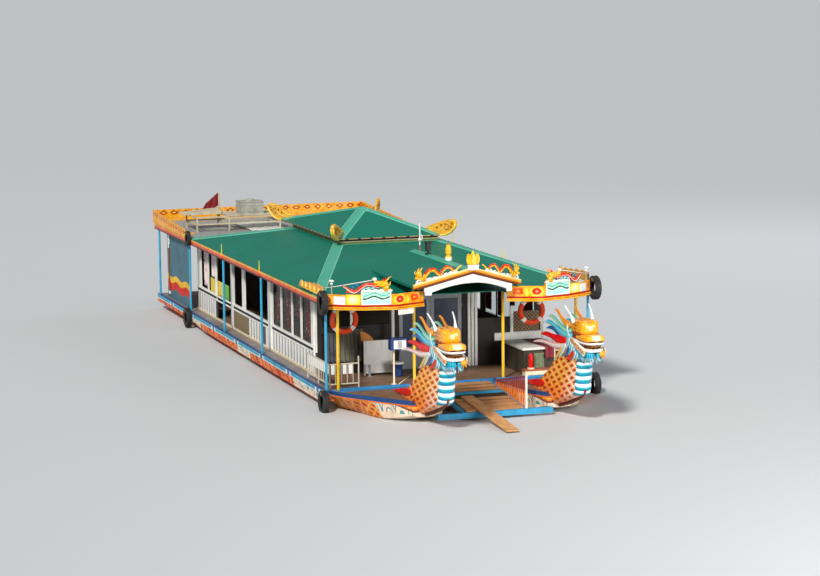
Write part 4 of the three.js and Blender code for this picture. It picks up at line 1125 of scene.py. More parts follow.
# near black paint for wires, bars and a valve; in the sill rail's groove it is painted shadow
dark_paint_and_sill_shadow = painted("sill_groove_dark", (0.02, 0.02, 0.022), dirt=0.1, gloss=0.6)
wicker = woven("wicker", (0.42, 0.3, 0.15), (0.07, 0.05, 0.035))
screens = {"yellow": painted("screen_yellow", (0.75, 0.58, 0.06), dirt=0.2, gloss=0.5),
           "green": painted("screen_green", (0.16, 0.48, 0.08), dirt=0.2, gloss=0.5)}

wall_out, slat_foot, slat_top, beam_under = 2.9, 0.515, 0.985, 2.385
sills = together(block(-7.2, 4.85, wall_out, 2.935, 1.105, 1.15),
                 block(-7.2, 4.85, wall_out, 2.925, slat_top, 1.025))
both("sill_rails", sills, rail_white, slot="white_paint", bevel=0.006)
# the near black strip in the groove between the two sill rails is painted shadow
both("sill_groove", together(*(block(x0, x1, wall_out, 2.906, 1.025, 1.105)
                               for x0, x1 in ((-7.2, -5.0), (-3.2, 4.85)))), dark_paint_and_sill_shadow, slot="white_paint")
both("wall_foot", block(-7.2, 4.87, wall_out, 2.935, 0.451, slat_foot), rail_cream, slot="white_paint",
     bevel=0.006)
both("wicker", block(-2.9, -1.45, wall_out, 2.914, 0.53, 0.98), wicker, slot="planks", bevel=0.003)
window_posts = together(*(block(x, x + wide, wall_out, 2.94, slat_foot, beam_under)
                          for x, wide in ((-3.2, 0.15), (0.66, 0.28), (4.79, 0.075))))
both("window_posts", window_posts, rail_white, slot="white_paint", bevel=0.006)
for colour, x0, x1 in (("yellow", -5.85, -4.5), ("green", -4.42, -3.8)):
    both(f"low_screen_{colour}", block(x0, x1, 2.834, 2.8497, 1.13, 1.53), screens[colour],
         slot="yellow_paint", bevel=0.003)
for side in sides:
    for run, first, count in (("aft", -7.18, 8), ("mid", -1.4, 5), ("front", 0.3, 17)):
        slat = block(first, first + 0.19, wall_out, 2.906, slat_foot, slat_top)
        grown(f"slats_{run}_{side}", row_tree, on_side(side, slat), rail_white,
              {"Count": count, "Step": (0.272, 0, 0)})


def curtain_cloth(name, colour, flower, size):
    material = new_material(name)
    place = add_node(material, "TexCoord")["Object"]
    spots = add_node(material, "TexVoronoi", {"Vector": place, "Scale": size})["Distance"]
    spot = ease(spots, 0.32, 0.24)
    return weathered(material, mixed(spot, colour, flower), dirt=0.2, gloss=0.85,
                     dirt_colour=(0.12, 0.06, 0.05))


def cloth(name, rule, columns, rows, material):
    """A sheet over a grid; the rule gives each point from how far across and down it is."""
    row = columns + 1
    points = [Vector(rule(i / columns, j / rows)) for j in range(rows + 1) for i in range(row)]
    faces = [(j * row + i, j * row + i + 1, (j + 1) * row + i + 1, (j + 1) * row + i)
             for j in range(rows) for i in range(columns)]
    made = piece(name, (points, faces), material, slot="banner_cloth", smooth=True)
    thick = made.modifiers.new("cloth", "SOLIDIFY")
    thick.thickness, thick.offset = 0.002, 0.0


def hung_cloth(name, start, end, drop, waves, depth, material, low=None):
    """A cloth that hangs in folds from a straight top line; low gives another lower line's end points."""
    start, end = Vector(start), Vector(end)
    aside = Vector((end.y - start.y, start.x - end.x, 0)).normalized()
    low = [Vector(p) for p in low] if low else [start - Vector((0, 0, drop)), end - Vector((0, 0, drop))]
    cloth(name, lambda u, v: start.lerp(end, u).lerp(low[0].lerp(low[1], u), v) + aside * depth
          * sin(2 * pi * waves * u + 0.9 * sin(2.2 * v + 5 * u)), int(waves * 12) + 1, 12, material)


red_cloth = curtain_cloth("curtain_red", (0.34, 0.018, 0.03), (0.7, 0.42, 0.3), 9.0)
pink_cloth = curtain_cloth("curtain_pink", (0.72, 0.6, 0.62), (0.55, 0.16, 0.24), 5.0)
for side, sign in (("port", 1), ("starboard", -1)):
    wire = [(-7.19, sign * 2.8, 2.27), (4.79, sign * 2.8, 2.27)]
    grown(f"curtain_wire_{side}", bar_tree, wires(wire), dark_paint_and_sill_shadow,
          {"Radius": 0.005, "Sides": 8, "Fineness": 1}, smooth=True)
    for number, (x0, x1, z1, folds, fabric) in enumerate(((-6.75, -6.3, 1.2, 5, pink_cloth),
                                                          (-5.85, -5.25, 1.55, 6, pink_cloth),
                                                          (1.16, 1.52, 1.28, 5, red_cloth),
                                                          (2.05, 2.44, 1.22, 5, red_cloth),
                                                          (3.0, 3.2, 1.6, 3, red_cloth),
                                                          (3.8, 4.42, 1.2, 8, red_cloth))):
        hung_cloth(f"curtain_{number + 1}_{side}", (x0, sign * 2.8, 2.26), (x1, sign * 2.8, 2.26), 2.26 - z1,
                   folds, 0.022, fabric)


# Side frames
# Sky blue pipes stand on the rub rails and carry the eave beams, which are painted orange over dark red, with
# a near black band of painted shade along their foot, and yellow-green finials rise beside the beams.
def frame_paint():
    material = new_material("side_frame_paint")
    x, y, z = spread(material)
    colour = mixed(z > 2.385, (0.05, 0.4, 0.66), (0.8, 0.1, 0.02))
    colour = mixed(within(z, 2.415, 2.44), colour, (0.34, 0.015, 0.01))
    colour = mixed(z > 2.505, colour, (0.93, 0.5, 0.07))
    # near black band at the foot of the eave beam: painted shade
    colour = mixed(within(z, 2.385, 2.415), colour, (0.03, 0.006, 0.006))
    finial = abs(y) > 3.2715
    colour = mixed(finial * (z > 2.562), colour, (0.66, 0.62, 0.05))
    return weathered(material, colour, dirt=0.3, gloss=0.35)


dress(frame_paint(), "side_frame_port", "side_frame_starboard")
dress(painted("post_yellow", (0.9, 0.56, 0.04), dirt=0.25, gloss=0.35), *(
    f"front_post_{where}_{side}" for where in ("outer", "inner") for side in sides))


# Roofs
# Deep green sheet steel on both tiers and the porch, with light green caps screwed over the hips and the
# porch ridge, and a khaki flashing between the tiers. The upper roof's eave edge and the top of the flashing
# are painted near black as painted shade under the upper eave.
def roof_paint(name, hips, parts=()):
    """Green sheet; hips are (x, y, along x, along y) on the port side, parts are (x, low, high, colour)."""
    material = new_material(name)
    x, y, z = spread(material)
    aside = abs(y)
    soft = noise(material, 0.5, 4.0)
    seam = abs(calc("FRACT", x * 1.1) - 0.5)
    line = ease(seam, 0.485, 0.5)
    colour = mixed(soft, (0.001, 0.15, 0.1), (0.002, 0.205, 0.145))
    colour = mixed(line * 0.25, colour, (0.001, 0.1, 0.07))
    pale = mixed(soft, (0.055, 0.36, 0.25), (0.1, 0.46, 0.33))
    edge = mixed(soft, (0.16, 0.56, 0.42), (0.22, 0.62, 0.48))
    for hip_x, hip_y, along_x, along_y in hips:
        long = hypot(along_x, along_y)
        away = x * (along_y / long) + (hip_y * along_x - hip_x * along_y) / long
        away = abs(aside * (-along_x / long) + away)
        colour = mixed(away < 0.151, colour, pale)
        colour = mixed(within(away, 0.128, 0.151), colour, edge)
    for part_x, low, high, tint in parts:
        by = calc("MAXIMUM", abs(x - part_x), aside)
        there = (by < 0.11) * within(z, low, high)
        colour = mixed(there, colour, tint)
    if name == "upper_roof_green":
        dash = calc("FRACT", (x + aside) * 3.1)
        # near black along the upper roof's eave edge: painted shade under the eave, with the dashed orange
        # line on it
        colour = mixed(z < 3.318, colour, (0.012, 0.008, 0.006))
        dash = (dash < 0.72) * within(z, 3.303, 3.318)
        colour = mixed(dash, colour, (0.62, 0.36, 0.16))
    if name == "porch_roof_green":
        cap = (aside < 0.151) * within(z, 3.15, 3.2215)
        colour = mixed(cap * (x > 3.69), colour, pale)
    weathered(material, colour, dirt=0.1, gloss=0.45, size=0.8, relief=line, bump=0.15)
    shade(material, Specular_IOR_Level=0.18)
    return material


dress(roof_paint("lower_roof_green", [(6.3, 3.25, -4.55, -1.86), (-6.56, 3.25, 3.81, -1.86)]),
      "lower_roof")
dress(roof_paint("upper_roof_green", [(1.73, 1.39, -2.28, -1.39), (-3.72, 1.39, 3.17, -1.39)]),
      "upper_roof")
dress(roof_paint("porch_roof_green", [], [
    (4.1, 3.222, 3.37, (0.42, 0.13, 0.08)), (4.1, 3.37, 4.0, (0.84, 0.84, 0.8)),
    (6.19, 3.222, 3.305, (0.84, 0.85, 0.8)), (6.19, 3.305, 3.6, (0.88, 0.52, 0.06)),
    (6.19, 3.6, 3.7, (0.4, 0.15, 0.03))]), "porch_roof")


def flashing_paint():
    material = new_material("flashing_paint")
    x, y, z = spread(material)
    colour = mixed(z > 3.19, (0.1, 0.3, 0.14), (0.085, 0.14, 0.035))
    colour = mixed(z > 3.232, colour, (0.46, 0.42, 0.26))
    # near black above z 3.248: painted shadow of the upper roof's eave on the flashing
    colour = mixed(z > 3.248, colour, (0.02, 0.012, 0.008))
    return weathered(material, colour, dirt=0.4, gloss=0.6)


dress(flashing_paint(), "clerestory")
screw_steel = painted("screw_steel", (0.2, 0.42, 0.34), dirt=0.3, gloss=0.4, metallic=0.4)
hip_lines = []
for start, end in (((6.2, 3.21, 2.574), (1.85, 1.43, 3.157)), ((-6.45, 3.2, 2.59), (-2.9, 1.46, 3.145)),
                   ((1.65, 1.34, 3.34), (-0.4, 0.09, 3.842)), ((-3.6, 1.34, 3.34), (-0.8, 0.11, 3.835))):
    (ax, ay, az), (bx, by, bz) = start, end
    long = hypot(bx - ax, by - ay)
    off_x, off_y = (ay - by) / long * 0.125, (bx - ax) / long * 0.125
    hip_lines += [[(ax + s * off_x, ay + s * off_y, az + 0.004), (bx + s * off_x, by + s * off_y, bz + 0.004)]
                  for s in (-1, 1)]
for side in sides:
    grown(f"hip_screws_{side}", bead_tree, on_side(side, wires(*hip_lines)), screw_steel,
          {"Spacing": 0.24, "Size": (0.012, 0.012, 0.008)})


# Carved leaves on the hips
# A leaf cut from board stands on each corner of the upper roof, painted orange with brown scrolls and a
# yellow rim, and a flame board lies along the eave beside each front corner.
def leaf_paint(name, base, dark):
    material = new_material(name)
    place = add_node(material, "TexCoord")["Object"]
    flow = noise(material, 6.0, 3.0, at=place)
    spots = add_node(material, "TexVoronoi", {"Vector": place, "Scale": 9.0, "Randomness": 0.4})["Distance"]
    ring = ease(calc("SINE", spots * 22.0), 0.2, 0.8)
    colour = mixed(flow, base, (0.93, 0.55, 0.08))
    colour = mixed(ring * 0.7, colour, dark)
    return weathered(material, colour, dirt=0.15, gloss=0.3, relief=ring, bump=0.2)


leaf_orange = leaf_paint("leaf_orange", (0.93, 0.42, 0.03), (0.38, 0.13, 0.01))
flame_orange = leaf_paint("flame_board_orange", (0.9, 0.3, 0.03), (0.5, 0.05, 0.01))
rim_yellow = painted("rim_yellow", (0.92, 0.66, 0.12), dirt=0.2, gloss=0.3)
leaf_line = [(-0.56, 0.05), (-0.3, 0.0), (0.0, -0.03), (0.13, -0.01), (0.31, 0.07), (0.43, 0.18),
             (0.49, 0.31), (0.45, 0.4), (0.37, 0.41), (0.31, 0.385), (0.25, 0.41), (0.13, 0.375),
             (0.07, 0.335), (0.0, 0.345), (-0.1, 0.305), (-0.16, 0.26), (-0.24, 0.265), (-0.34, 0.22),
             (-0.42, 0.185), (-0.52, 0.14)]
leaf_line = [(s + 0.004 * math.copysign(1, s), z + (0.006 if z > 0.1 else -0.004)) for s, z in leaf_line]
leaf_body = plate(leaf_line, -0.031, 0.031)
rim_lines = [([(-0.56, 0.06), (-0.3, 0.012), (0.0, -0.018), (0.13, 0.002), (0.3, 0.08), (0.42, 0.19),
               (0.48, 0.31)], 0.022),
             ([(-0.5, 0.13), (-0.34, 0.15), (-0.2, 0.2), (-0.1, 0.24)], 0.012),
             ([(-0.2, 0.09), (-0.06, 0.11), (0.06, 0.17), (0.1, 0.25)], 0.012),
             ([(0.2, 0.37), (0.3, 0.36), (0.37, 0.38), (0.44, 0.37), (0.46, 0.31)], 0.014)]
leaf_faces = (-0.031, 0.031)
leaf_rims = together(*(tube([(s, off, z) for s, z in path], radius, 8)
                       for off in leaf_faces for path, radius in rim_lines))
circles = ((0.18, 0.21, 0.075), (0.36, 0.3, 0.022), (0.33, 0.22, 0.02), (0.02, 0.25, 0.024),
           (-0.13, 0.18, 0.022))
turns = [2 * pi * k / 16 for k in range(17)]
leaf_rings = together(*(tube([(s + r * cos(a), off, z + r * sin(a)) for a in turns], 0.013, 8)
                        for off in leaf_faces for s, z, r in circles))
ring_brown = painted("ring_brown", (0.36, 0.14, 0.01), dirt=0.2, gloss=0.35)
corner_y, corner_z = 1.39, 3.32
for name, x in (("fore", 1.73), ("aft", -3.72)):
    angle = math.atan2(corner_y, x + 0.55)
    turn = lambda s, off, z: (x + s * cos(angle) - off * sin(angle),
                              corner_y + s * sin(angle) + off * cos(angle), corner_z + z)
    both(f"leaf_{name}", bent_by(leaf_body, turn), leaf_orange, bevel=0.01)
    both(f"leaf_rim_{name}", bent_by(leaf_rims, turn), rim_yellow, smooth=True)
    both(f"leaf_ring_{name}", bent_by(leaf_rings, turn), ring_brown, smooth=True)

flame_line = [(4.92, 2.64), (6.86, 2.64), (6.9, 2.86), (6.7, 2.845), (6.5, 2.88), (6.34, 2.83), (6.12, 2.87),
              (5.98, 2.8), (5.76, 2.84), (5.64, 2.78), (5.42, 2.81), (5.28, 2.76), (5.06, 2.81), (4.96, 2.74)]
beam_face = 3.262
flame_board = plate(flame_line, beam_face, beam_face + 0.028)
board_face = beam_face + 0.03
flame_tongues = together(*(tube([(x, board_face, 2.66), (x + 0.05, board_face + 0.004, 2.72),
                                 (x + 0.02, board_face + 0.002, 2.77), (x - 0.05, board_face, 2.81)],
                                lambda t: 0.035 * (1 - t) + 0.008, 8) for x in (5.2, 5.5, 5.85, 6.2, 6.55)),
                         tube([(4.92, board_face, 2.65), (5.9, board_face + 0.002, 2.65),
                               (6.86, board_face, 2.65)], 0.016, 8))
both("flame_board", flame_board, flame_orange, bevel=0.006)
both("flame_tongues", flame_tongues, rim_yellow, smooth=True)


# Lamp and hook on the porch ridge
# A black floodlight stands on the ridge behind the gourd, and a white bent hook is clamped to the pole.
trim_white = painted("trim_white", (0.82, 0.83, 0.79), dirt=0.2, gloss=0.28)
lamp_black = painted("lamp_black", (0.012, 0.012, 0.013), dirt=0.3, gloss=0.4)
piece("ridge_lamp", together(block(4.66, 4.78, -0.06, 0.06, 3.3, 3.5),
                             block(4.7, 4.74, -0.02, 0.02, 3.21, 3.31),
                             block(4.63, 4.81, -0.085, 0.085, 3.49, 3.525),
                             block(4.64, 4.8, -0.07, 0.07, 3.215, 3.235)), lamp_black, bevel=0.012)
grown("pole_hook", bar_tree, wires([(4.13, -0.01, 3.5), (4.22, -0.01, 3.49), (4.3, -0.01, 3.53),
                                    (4.3, -0.01, 3.6), (4.24, -0.01, 3.63)]), trim_white,
      {"Radius": 0.014, "Sides": 10, "Fineness": 6}, smooth=True)
piece("pole_clamp", lathe([(0.03, 3.46), (0.04, 3.465), (0.04, 3.535), (0.03, 3.54)], (4.1, 0, 0), 20),
      trim_white, smooth=True, slot="grey_paint")


# Front fascias
# Boards bent round the front corners of the roof, each painted panel edged with moulding: a bare number
# plate, a sun, waves, and red flowers. A red dragon of carved wood lies on the wave panel's top.
fascia_line = [(6.99, 3.262), (7.25, 2.93), (7.49, 2.48), (7.65, 1.78), (7.35, 1.02)]


def on_fascia(s, out, z):
    """Point at a distance along the port fascia from its aft corner, proud of it by out."""
    def at(s):
        left = max(s, 0)
        for (ax, ay), (bx, by) in zip(fascia_line, fascia_line[1:]):
            long = hypot(bx - ax, by - ay)
            if left <= long or (bx, by) == fascia_line[-1]:
                return ax + (bx - ax) * left / long, ay + (by - ay) * left / long
            left -= long
    (ax, ay), (bx, by) = at(s - 0.04), at(s + 0.04)
    x, y = at(s)
    long = hypot(bx - ax, by - ay)
    return x - (by - ay) / long * out, y + (bx - ax) / long * out, z


def swept(profile, s0, s1):
    """Strip of a closed profile (out, z) along the fascia; its painting lies in distance and height."""
    count = max(2, round((s1 - s0) / 0.035))
    places = [s0 + (s1 - s0) * i / count for i in range(count + 1)]
    points, faces = skin([[on_fascia(s, out, z) for out, z in profile] for s in places])
    return points, faces, [(s, z) for s in places for _, z in profile]


def lump(s, out, z, rs, ro, rz, blunt=0.9):
    """Rounded body on the fascia."""
    return bent_by(blob((s, out, z), (rs, ro, rz), blunt, 12, 16), on_fascia)


def bent_tube(path, radius):
    return bent_by(tube(path, radius, 8), on_fascia)


def painting(owner):
    """The places in a piece's own painting, along and up."""
    parts = add_node(owner, "SeparateXYZ", {0: add_node(owner, "UVMap", uv_map="place")[0]})
    return parts[0], parts[1]


def near(u, v, centre, radii, shape="ADD"):
    """Distance from a centre, 1 at a diamond's edge, or at a box's edge where the shape is MAXIMUM."""
    a, b = abs((u - centre[0]) / radii[0]), abs((v - centre[1]) / radii[1])
    return calc("SQRT", a * a + b * b) if shape == "ROUND" else calc(shape, a, b)


def fascia_paint():
    material = new_material("fascia_orange")
    u, v = painting(material)
    flow = noise(material, 7.0, 4.0)
    colour = mixed(ease(flow, 0.35, 0.65), (0.9, 0.27, 0.01), (0.95, 0.5, 0.03))
    flower = near(u, v, (1.77, 2.585), (0.1, 0.075), "ROUND")
    colour = mixed(ease(flower, 1.75, 1.6), colour, (0.95, 0.62, 0.06))
    colour = mixed(ease(flower, 1.15, 1.0), colour, (0.74, 0.02, 0.01))
    colour = mixed(ease(flower, 0.45, 0.3), colour, (0.95, 0.3, 0.2))
    knot = flow * 0.5 + near(u, v, (2.2, 2.59), (0.11, 0.07), "MAXIMUM")
    colour = mixed(ease(knot, 1.35, 1.2), colour, (0.86, 0.07, 0.01))
    colour = mixed(ease(near(u, v, (2.2, 2.59), (0.045, 0.03)), 1.1, 0.9), colour, (0.95, 0.4, 0.05))
    leaf = near(u, v, (2.0, 2.56), (0.05, 0.11))
    colour = mixed(ease(leaf, 1.05, 0.95), colour, (0.95, 0.72, 0.08))
    corner = near(u, v, (0.1, 2.57), (0.05, 0.09))
    colour = mixed(ease(corner, 1.05, 0.95), colour, (0.8, 0.1, 0.01))
    colour = mixed(within(v, 2.424, 2.466), colour, (0.42, 0.008, 0.006))
    # dark in the groove between the lip's beads and under the lip: painted shade
    groove = calc("MAXIMUM", within(v, 2.382, 2.39), 2.356 > v)
    colour = mixed(groove, colour, (0.36, 0.05, 0.01))
    colour = mixed(within(v, 2.358, 2.372), colour, (0.95, 0.55, 0.05))
    return weathered(material, colour, dirt=0.2, gloss=0.28, relief=flow, bump=0.1)


def sun_paint():
    material = new_material("sun_yellow")
    u, v = painting(material)
    disc = near(u, v, (0.675, 2.585), (0.15, 0.12), "ROUND")
    colour = mixed(ease(disc, 0.35, 1.0), (0.86, 0.86, 0.5), (0.95, 0.74, 0.03))
    colour = mixed(ease(disc, 1.0, 1.25), colour, (0.93, 0.58, 0.03))
    return weathered(material, colour, dirt=0.12, gloss=0.25)


def wave_paint():
    material = new_material("wave_teal")
    u, v = painting(material)
    swell = calc("SINE", u * 15.0) * 0.03 + v
    flow = noise(material, 14.0, 3.0)
    swell = flow * 0.03 + swell
    colour = mixed(ease(swell, 2.6, 2.615), (0.34, 0.78, 0.76), (0.78, 0.86, 0.82))
    colour = mixed(within(swell, 2.632, 2.672), colour, (0.004, 0.13, 0.05))
    colour = mixed(ease(swell, 2.672, 2.68), colour, (0.4, 0.74, 0.6))
    colour = mixed(within(swell, 2.715, 2.735), colour, (0.02, 0.4, 0.3))
    colour = mixed(within(swell, 2.56, 2.572), colour, (0.7, 0.9, 0.9))
    return weathered(material, colour, dirt=0.12, gloss=0.25)


def body_paint():
    """Red dragon with paler lines."""
    material = new_material("dragon_red")
    place = add_node(material, "TexCoord")["Object"]
    bands = add_node(material, "TexWave", {"Vector": place, "Scale": 9.0, "Distortion": 3.0})["Fac"]
    colour = mixed(ease(bands, 0.5, 0.9), (0.66, 0.02, 0.012), (0.8, 0.09, 0.03))
    return weathered(material, colour, dirt=0.12, gloss=0.25)


carving_orange = fascia_paint()
gold_yellow = dotted_paint("gold_yellow", (0.93, 0.5, 0.02), (0.5, 0.12, 0.01), (20.0, 30.0), 30.0)
dragon_red = body_paint()
leaf_blue = painted("leaf_blue", (0.01, 0.16, 0.42), dirt=0.12, gloss=0.25)
leaf_aqua = painted("leaf_aqua", (0.28, 0.62, 0.62), dirt=0.12, gloss=0.25)
flower_red = painted("flower_red", (0.76, 0.03, 0.01), dirt=0.12, gloss=0.25)
pearl_cream = painted("pearl_cream", (0.86, 0.76, 0.58), dirt=0.1, gloss=0.15)

panel_tops = [(0.0, 0.5, 2.69), (0.5, 0.85, 2.71), (0.85, 1.55, 2.8), (1.55, 2.467, 2.7)]
boards = together(*(swept([(-0.05, 2.4), (0.0, 2.4), (0.0, top - 0.012), (-0.008, top), (-0.05, top)], s0, s1)
                    for s0, s1, top in panel_tops))
lip = swept([(-0.05, 2.35), (0.028, 2.35), (0.036, 2.358), (0.036, 2.376), (0.026, 2.384), (0.026, 2.39),
             (0.034, 2.396), (0.034, 2.412), (0.022, 2.422), (0.006, 2.428), (0.006, 2.46), (0.0, 2.468),
             (-0.05, 2.468)], 0.0, 2.467)
top_bead = together(*(swept([(-0.02, top - 0.012), (0.012, top - 0.012), (0.016, top), (0.01, top + 0.01),
                             (-0.02, top + 0.01)], s0, s1) for s0, s1, top in (panel_tops[0], panel_tops[3])))
sun = swept([(0.0, 2.475), (0.01, 2.475), (0.012, 2.7), (0.0, 2.705)], 0.51, 0.84)
waves = swept([(0.0, 2.49), (0.006, 2.49), (0.006, 2.78), (0.0, 2.78)], 0.88, 1.52)
frame_bars = together(swept([(0.0, 2.472), (0.022, 2.474), (0.022, 2.498), (0.0, 2.5)], 0.86, 1.54),
                      swept([(0.0, 2.768), (0.022, 2.77), (0.026, 2.8), (0.0, 2.812)], 0.86, 1.54),
                      *(swept([(0.0, 2.48), (0.022, 2.48), (0.022, 2.8), (0.0, 2.8)], s, s + 0.03)
                        for s in (0.86, 1.51)))
number_plate = swept([(0.0, 2.472), (0.012, 2.474), (0.012, 2.658), (0.0, 2.66)], 0.21, 0.49)
foam = together(*(lump(0.9 + 0.07 * i, 0.012, 2.805 + 0.008 * (-1) ** i, 0.045, 0.016, 0.024)
                  for i in range(10)))

back_path = [(0.44, -0.01, 2.9), (0.52, 0.0, 2.86), (0.6, 0.01, 2.795), (0.7, 0.015, 2.76),
             (0.78, 0.015, 2.8), (0.86, 0.015, 2.87), (0.95, 0.015, 2.93), (1.05, 0.015, 2.945),
             (1.15, 0.02, 2.92), (1.26, 0.02, 2.88)]
dragon = together(bent_tube(back_path, lambda t: 0.014 + 0.034 * min(1, t * 2.2)),
                  bent_tube([(0.4, -0.01, 2.93), (0.46, 0.0, 2.885), (0.52, 0.0, 2.85)],
                            lambda t: 0.004 + 0.02 * t), *(lump(0.56 + 0.075 * i, 0.0, 2.775 + 0.03 * (i % 2),
                                                                0.05, 0.02, 0.035) for i in range(3)))
stripe = bent_tube([(s, out + 0.03, z - 0.012) for s, out, z in back_path],
                   lambda t: 0.004 + 0.011 * min(1, t * 2.2))
dragon_head = together(lump(1.33, 0.02, 2.95, 0.15, 0.055, 0.075),
                       lump(1.21, 0.03, 2.985, 0.075, 0.045, 0.045),
                       lump(1.42, 0.01, 2.87, 0.075, 0.045, 0.095),
                       lump(1.19, 0.03, 2.925, 0.06, 0.04, 0.025),
                       bent_tube([(1.4, 0.01, 2.99), (1.46, 0.0, 3.04), (1.5, -0.01, 3.09),
                                  (1.56, -0.02, 3.12)], lambda t: 0.026 - 0.02 * t),
                       bent_tube([(1.44, 0.01, 2.9), (1.51, 0.0, 2.93), (1.53, 0.0, 3.0)],
                                 lambda t: 0.028 - 0.02 * t),
                       bent_tube([(1.42, 0.02, 2.84), (1.47, 0.01, 2.81), (1.54, 0.0, 2.84)],
                                 lambda t: 0.026 - 0.018 * t))
crest = together(*(bent_tube([(1.34 + 0.04 * i, 0.0, 3.0), (1.37 + 0.04 * i, 0.0, 3.04),
                              (1.385 + 0.04 * i, 0.0, 3.085)], lambda t: 0.024 - 0.02 * t) for i in range(3)),
                 bent_tube([(1.13, 0.055, 2.935), (1.2, 0.062, 2.94), (1.27, 0.055, 2.93)], 0.009))
fins = together(*(bent_tube([(s, 0.02, z), (s - 0.05, 0.02, z + 0.035), (s - 0.12, 0.01, z + 0.03)],
                            lambda t: 0.026 * (1 - t) + 0.003) for s, z in ((0.8, 2.905), (0.7, 2.86))))
fins_low = together(*(bent_tube([(s, 0.02, z), (s - 0.06, 0.025, z - 0.015), (s - 0.13, 0.02, z)],
                                lambda t: 0.028 * (1 - t) + 0.004)
                      for s, z in ((1.16, 2.87), (1.05, 2.87), (0.95, 2.85))))
lamp = bent_by(lathe([(0.011, 0.0), (0.011, 0.26), (0.03, 0.265), (0.034, 0.3), (0.012, 0.305), (0.012, 0.33),
                      (0.062, 0.335), (0.064, 0.348), (0.03, 0.37), (0.004, 0.376)], (0.15, -0.025, 2.66),
                     16), on_fascia)
rod_white = bent_tube([(0.0, -0.03, 2.84), (0.4, -0.02, 2.91), (0.8, 0.0, 2.985), (1.13, 0.02, 3.045)], 0.009)
pearl = lump(1.165, 0.02, 3.06, 0.055, 0.05, 0.045, 1.0)
fascia_pieces = [("fascia", together(boards, lip, top_bead), carving_orange), ("sun_panel", sun, sun_paint()),
                 ("wave_panel", waves, wave_paint()), ("wave_frame", together(frame_bars, foam), trim_white),
                 ("number_plate", number_plate, trim_white), ("crest_dragon", dragon, dragon_red),
                 ("dragon_stripe", stripe, trim_white), ("crest_head", dragon_head, gold_yellow),
                 ("crest_comb", crest, flower_red), ("crest_fins", fins, leaf_blue),
                 ("crest_waves", fins_low, leaf_aqua), ("corner_lamp", together(lamp, rod_white), trim_white),
                 ("crest_pearl", pearl, pearl_cream)]
for name, form, finish in fascia_pieces:
    both(name, form, finish, smooth=name.startswith(("crest", "dragon", "corner")),
         bevel=0.003 if name in ("number_plate", "sun_panel") else 0.0,
         replaces="front_fascia" if name == "fascia" else None)
hanging = over(swept([(0.01, 2.225), (0.028, 2.225), (0.028, 2.345), (0.01, 2.345)], 1.7, 2.15))
piece("hanging_plate", hanging, trim_white, bevel=0.004)
grown("hanging_plate_screws", bead_tree, over(wires([on_fascia(s, 0.029, 2.325)
                                                     for s in (1.73, 1.925, 2.12)])),
      painted("screw_grey", (0.25, 0.26, 0.26), dirt=0.3, metallic=0.8),
      {"Spacing": 0.19, "Size": (0.008, 0.008, 0.008)})


# Aft fascia
# Planks on edge round the after roof, painted orange-yellow with brown-red scrolls. They rise a little
# towards the stern, and the scrolls follow them.
def aft_paint():
    material = new_material("aft_fascia_paint")
    x, y, z = spread(material)
    run = x + y * 0.9
    cell = calc("FRACT", run * 3.2) - 0.5
    high = (x + 7.15) * 0.0415 + z
    scroll = abs(cell) + abs((high - 2.675) * 5.0)
    flow = noise(material, 9.0)
    scroll = flow * 0.35 + scroll
    colour = mixed(ease(flow, 0.35, 0.65), (0.9, 0.3, 0.02), (0.94, 0.52, 0.04))
    colour = mixed(ease(scroll, 0.6, 0.52), colour, (0.45, 0.04, 0.01))
    colour = mixed(ease(scroll, 0.36, 0.3), colour, (0.93, 0.62, 0.1))
    return weathered(material, colour, dirt=0.25, gloss=0.35)


dress(aft_paint(), "aft_fascia")


# Porch gable
# A carved board in two halves that meet at an angle, white below with a thick rim round its arch, gold
# moulding above, a crown at its peak and a small gilt dragon crawling up each slope.
gable_rake, gable_foot, gable_end, gable_peak = 0.292, 7.8403, 1.31, 3.26
gable_slope = (gable_peak - 2.87) / gable_end


def on_gable(y, out, z):
    return gable_foot - gable_rake * abs(y) + out, y, z


def across_gable(profile, y0, y1, count=40):
    """Strip along the gable; the profile gives (out, z) at each y."""
    return skin([[on_gable(y, out, z) for out, z in profile(y)]
                 for y in (y0 + (y1 - y0) * i / count for i in range(count + 1))])


def slope_at(y):
    return gable_peak - gable_slope * abs(y)


def arch_at(y):
    return 2.94 - 0.21 * (abs(y) / 0.9) ** 1.75


def along_gable(path, radius, sides=8):
    return bent_by(tube(path, radius, sides), on_gable)


valance = together(across_gable(lambda y: [(0.0, arch_at(y)), (0.03, arch_at(y)), (0.03, slope_at(y) - 0.11),
                                           (0.0, slope_at(y) - 0.11)], -0.93, 0.93, 62),
                   *(across_gable(lambda y: [(0.0, 2.7), (0.03, 2.7), (0.03, slope_at(y) - 0.11),
                                             (0.0, slope_at(y) - 0.11)], s * 0.92, s * 1.07, 3)
                     for s in (-1, 1)))
rim = together(across_gable(lambda y: [(0.0, arch_at(y) - 0.03), (0.052, arch_at(y) - 0.035),
                                       (0.06, arch_at(y) - 0.015), (0.052, arch_at(y) + 0.02),
                                       (0.0, arch_at(y) + 0.026)], -0.93, 0.93, 62),
               *(across_gable(lambda y: [(0.0, 2.626), (0.058, 2.626), (0.062, 2.64), (0.062, 2.785),
                                         (0.052, 2.8), (0.0, 2.8)], s * 0.915, s * 1.057, 2)
                 for s in (-1, 1)))


def moulding_paint():
    material = new_material("gable_moulding")
    x, y, z = spread(material)
    high = abs(y) * gable_slope + z
    colour = mixed(ease(high, 3.215, 3.235), (0.86, 0.33, 0.03), (0.93, 0.72, 0.3))
    colour = mixed(ease(high, 3.185, 3.17), colour, (0.4, 0.1, 0.02))
    return weathered(material, colour, dirt=0.2, gloss=0.3)


